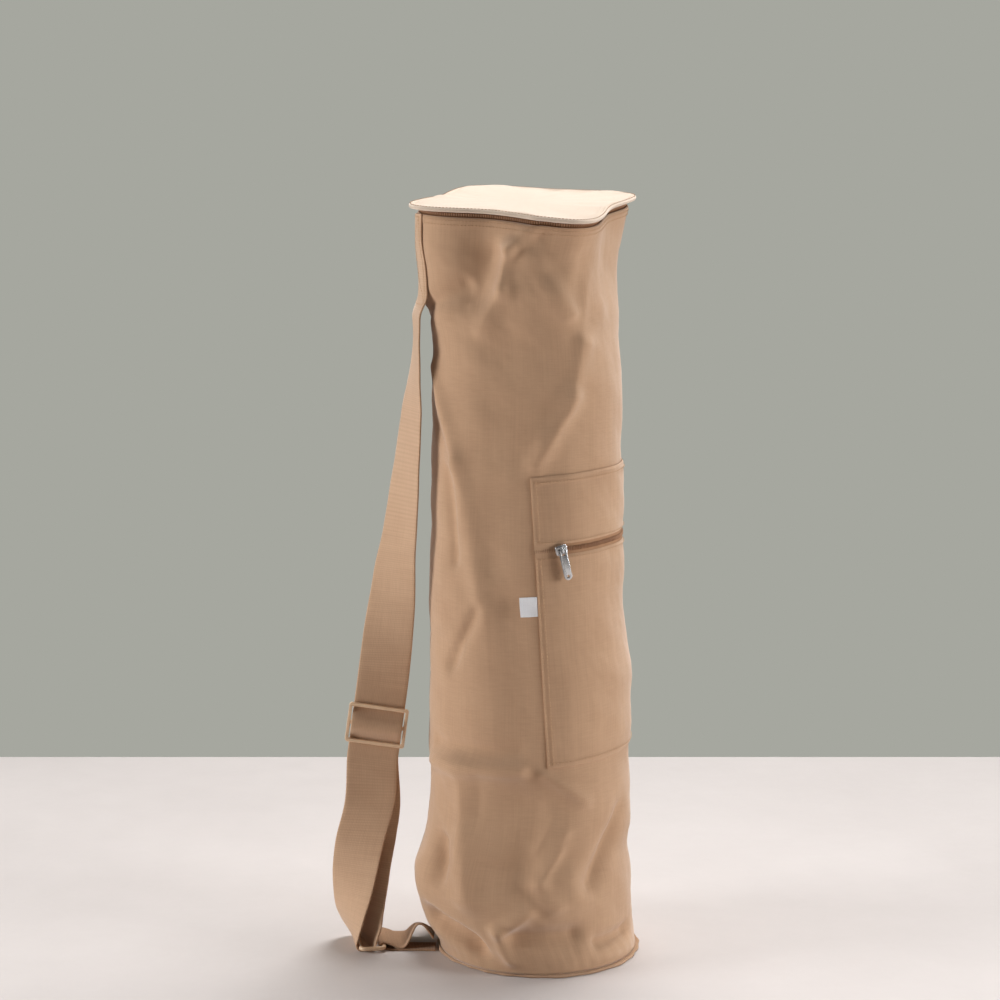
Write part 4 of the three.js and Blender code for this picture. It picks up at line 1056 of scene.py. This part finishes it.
strapRows = (
    [fallRow(row) for row in strapTop + strapFalls] + frameRows(downPlaces)
    + [plyRow(row) for row in frontPly + floorPly + backPly] + frameRows(upPlaces)
)
strapBand, strapCentres, strapAcross, strapOut = bandOf(
    "webbingStrap", strapRows, strap["width"], strap["thickness"], wear=0.00022, shaped=sewnFlat)
finishPiece(strapBand, strapWeb, "webbing", "shoulder_strap")
print("strap woven", len(strapBand.data.polygons))


outerFace = 1.0 if strapOut[4] @ np.array([-1.0, 0, 0]) > 0 else -1.0


def strapStitches(name, points):
    # stitches between marks (station, share of the width) on the strap's outer face
    path, outs, asides = [], [], []
    lift = outerFace * strap["thickness"] * 0.5
    for (firstRow, firstSide), (lastRow, lastSide) in zip(points[:-1], points[1:]):
        for t in np.linspace(0, 1, 24):
            row = firstRow + (lastRow - firstRow) * t
            aside = (firstSide + (lastSide - firstSide) * t) * 0.5 * strap["width"]
            low = int(min(row, len(strapCentres) - 2))
            part = row - low
            centre, across, out = (
                line[low] * (1 - part) + line[low + 1] * part
                for line in (strapCentres, strapAcross, strapOut)
            )
            path.append(centre + across * aside + out * lift)
            outs.append(out * outerFace)
            asides.append(aside)
    laid = sewnFlat(np.array(path), np.array(asides), np.full(len(path), lift))
    stitchesAlong(name, laid, np.array(outs), strapThread, "webbing", 0.003)


sewnMarks = {"first": 0.6, "last": 16.6, "side": 0.86}
first, last, side = sewnMarks["first"], sewnMarks["last"], sewnMarks["side"]
strapStitches("strapBoxStitch", [(first, -side), (last, -side), (last, side), (first, side),
                                 (first, -side), (last, side)])
strapStitches("strapCrossStitch", [(first, side), (last, -side)])


# ring: a rectangular loop of round plastic wire lying on the floor
def ringSpot(s, t):
    length, width = strap["width"] + 0.004 + ring["wire"], ring["spacing"]
    corner = ring["corner"]
    outline = []
    for sideX, sideY, first in ((1, 1, 0), (-1, 1, 90), (-1, -1, 180), (1, -1, 270)):
        for k in range(9):
            turn = math.radians(first + 90 * k / 8)
            outline.append((sideX * (width / 2 - corner) + corner * math.cos(turn),
                            sideY * (length / 2 - corner) + corner * math.sin(turn)))
    outline.append(outline[0])
    outline = np.array(outline)
    run = runOf(outline)
    mark = s * run[-1]
    x, y = np.interp(mark, run, outline[:, 0]), np.interp(mark, run, outline[:, 1])
    ahead = (mark + 0.0004) % run[-1]
    behindMark = (mark - 0.0004) % run[-1]
    dx = np.interp(ahead, run, outline[:, 0]) - np.interp(behindMark, run, outline[:, 0])
    dy = np.interp(ahead, run, outline[:, 1]) - np.interp(behindMark, run, outline[:, 1])
    size = np.hypot(dx, dy)
    turn = 2 * np.pi * t
    outX, outY = dy / size * np.cos(turn), -dx / size * np.cos(turn)
    radius = ring["wire"] / 2
    flat = (x + outX * radius)[:, None] * sideways - (y + outY * radius)[:, None] * barAcross
    lift = (radius * np.sin(turn))[:, None] * np.array([0, 0, 1.0])
    return ringCentre + flat + lift


strapRing = sheetOf("strapRing", 150, 16, ringSpot, (0.16, 0.0125))
mergeDoubles(strapRing)
smoothOver(strapRing)
finishPiece(strapRing, creamMoulded, "cream_plastic", "strap_ring")

# anchor loop: folded webbing from the base seam round the ring, stitched, then arched back
anchor = {"width": 0.046, "arch": 0.020, "roll": 19}
seamOut = basePanel["radius"] + bag["gap"]
loopBar = barCentre(1)
floorLift = strap["thickness"] / 2 + bag["gap"] / 2
flatLift = floorLift + strap["thickness"] + bag["gap"]


def fromSeam(share, height, turn, roll=0.0):
    stretch = -seamOut - loopBar[0]
    centre = np.array([-seamOut - share * stretch, share * loopBar[1], height])
    return centre, acrossOf(90 - turn, -roll)


loopRows = [fromSeam(0, floorLift, 0), fromSeam(0.3, floorLift, 3), fromSeam(0.65, floorLift, 6)]
loopRows += barRows(loopBar, 270, 90, 6)
for share, height, turn in ((0.84, 0.0022, 8), (0.76, 0.0004, 7), (0.62, 0.0003, 7)):
    loopRows.append(fromSeam(share, flatLift + height, turn))
for share, rise, turn in (
    (0.52, 0.36, 6), (0.44, 0.7, 5), (0.35, 0.96, 4), (0.24, 0.95, 3), (0.13, 0.72, 2), (0.035, 0.48, 0),
):
    loopRows.append(fromSeam(share, rise * anchor["arch"], turn, rise * anchor["roll"]))


def gathered(spots, x, lift):
    # the ply on the floor is folded to a narrow strip near its front edge
    low = (1 - smoothStep(spots[:, 2], 0.0025, 0.0035)) * smoothStep(spots[:, 0], -0.146, -0.138)
    spots[:, 1] -= low * 0.55 * (spots[:, 1] + 0.021)
    return spots


loopBand = bandOf("anchorWebbing", loopRows, anchor["width"], strap["thickness"], shaped=gathered)[0]
finishPiece(loopBand, loopWebPaintedShade, "webbing", "anchor_loop")
print("anchor loop made")

# floor and lights
stageSizes = {"floorBack": 0.684, "reach": 3.2}
bareSelection()
bpy.ops.mesh.primitive_plane_add(size=1, location=(0, 0, 0))
floor = bpy.context.object
floor.name = "paleFloor"
for vertex in floor.data.vertices:
    vertex.co.x *= 2 * stageSizes["reach"]
    vertex.co.y = stageSizes["floorBack"] if vertex.co.y > 0 else -stageSizes["reach"]
floor.data.materials.append(plainMaterial("paleFloorPaint", (206, 197, 193), (211, 202, 198),
                                          roughness=0.6, scale=3, bump=0.02, specular=0.3))


def softLight(name, place, aim, size, power, colour):
    bareSelection()
    bpy.ops.object.light_add(type="AREA", location=place)
    lamp = bpy.context.object
    lamp.name = name
    lamp.data.name = name
    lamp.data.shape = "DISK"
    lamp.data.size = size
    lamp.data.energy = power
    lamp.data.color = colour
    way = Vector(aim) - Vector(place)
    lamp.rotation_euler = way.to_track_quat("-Z", "Y").to_euler()
    return lamp


softLight("topLight", (0.25, 0.5, 2.2), (0, 0, 0.5), 1.2, 50, (0.97, 0.985, 1))
softLight("rightLight", (2.3, -0.8, 0.75), (0, 0, 0.3), 1.0, 42, (0.94, 0.975, 1))
softLight("leftLight", (-2.3, -0.5, 0.7), (0, 0, 0.25), 1.0, 44, (0.95, 0.98, 1))
# the room: pale behind the object and dim behind the camera
world = bpy.data.worlds.new("softRoom")
world.use_nodes = True
roomTree = world.node_tree
wayOut = addNode(roomTree, "ShaderNodeTexCoord")
partsOfWay = addNode(roomTree, "ShaderNodeSeparateXYZ")
link(roomTree, wayOut, "Generated", partsOfWay, "Vector")
room = blended(roomTree, partsOfWay, "Y", (62, 60, 58), (166, 167, 159), 0.0, 0.75)
link(roomTree, room, "Color", roomTree.nodes["Background"], "Color")
roomTree.nodes["Background"].inputs["Strength"].default_value = 1.0
bpy.context.scene.world = world
bpy.context.scene.view_settings.view_transform = "Standard"
print("stage and lights set")

bareSelection()
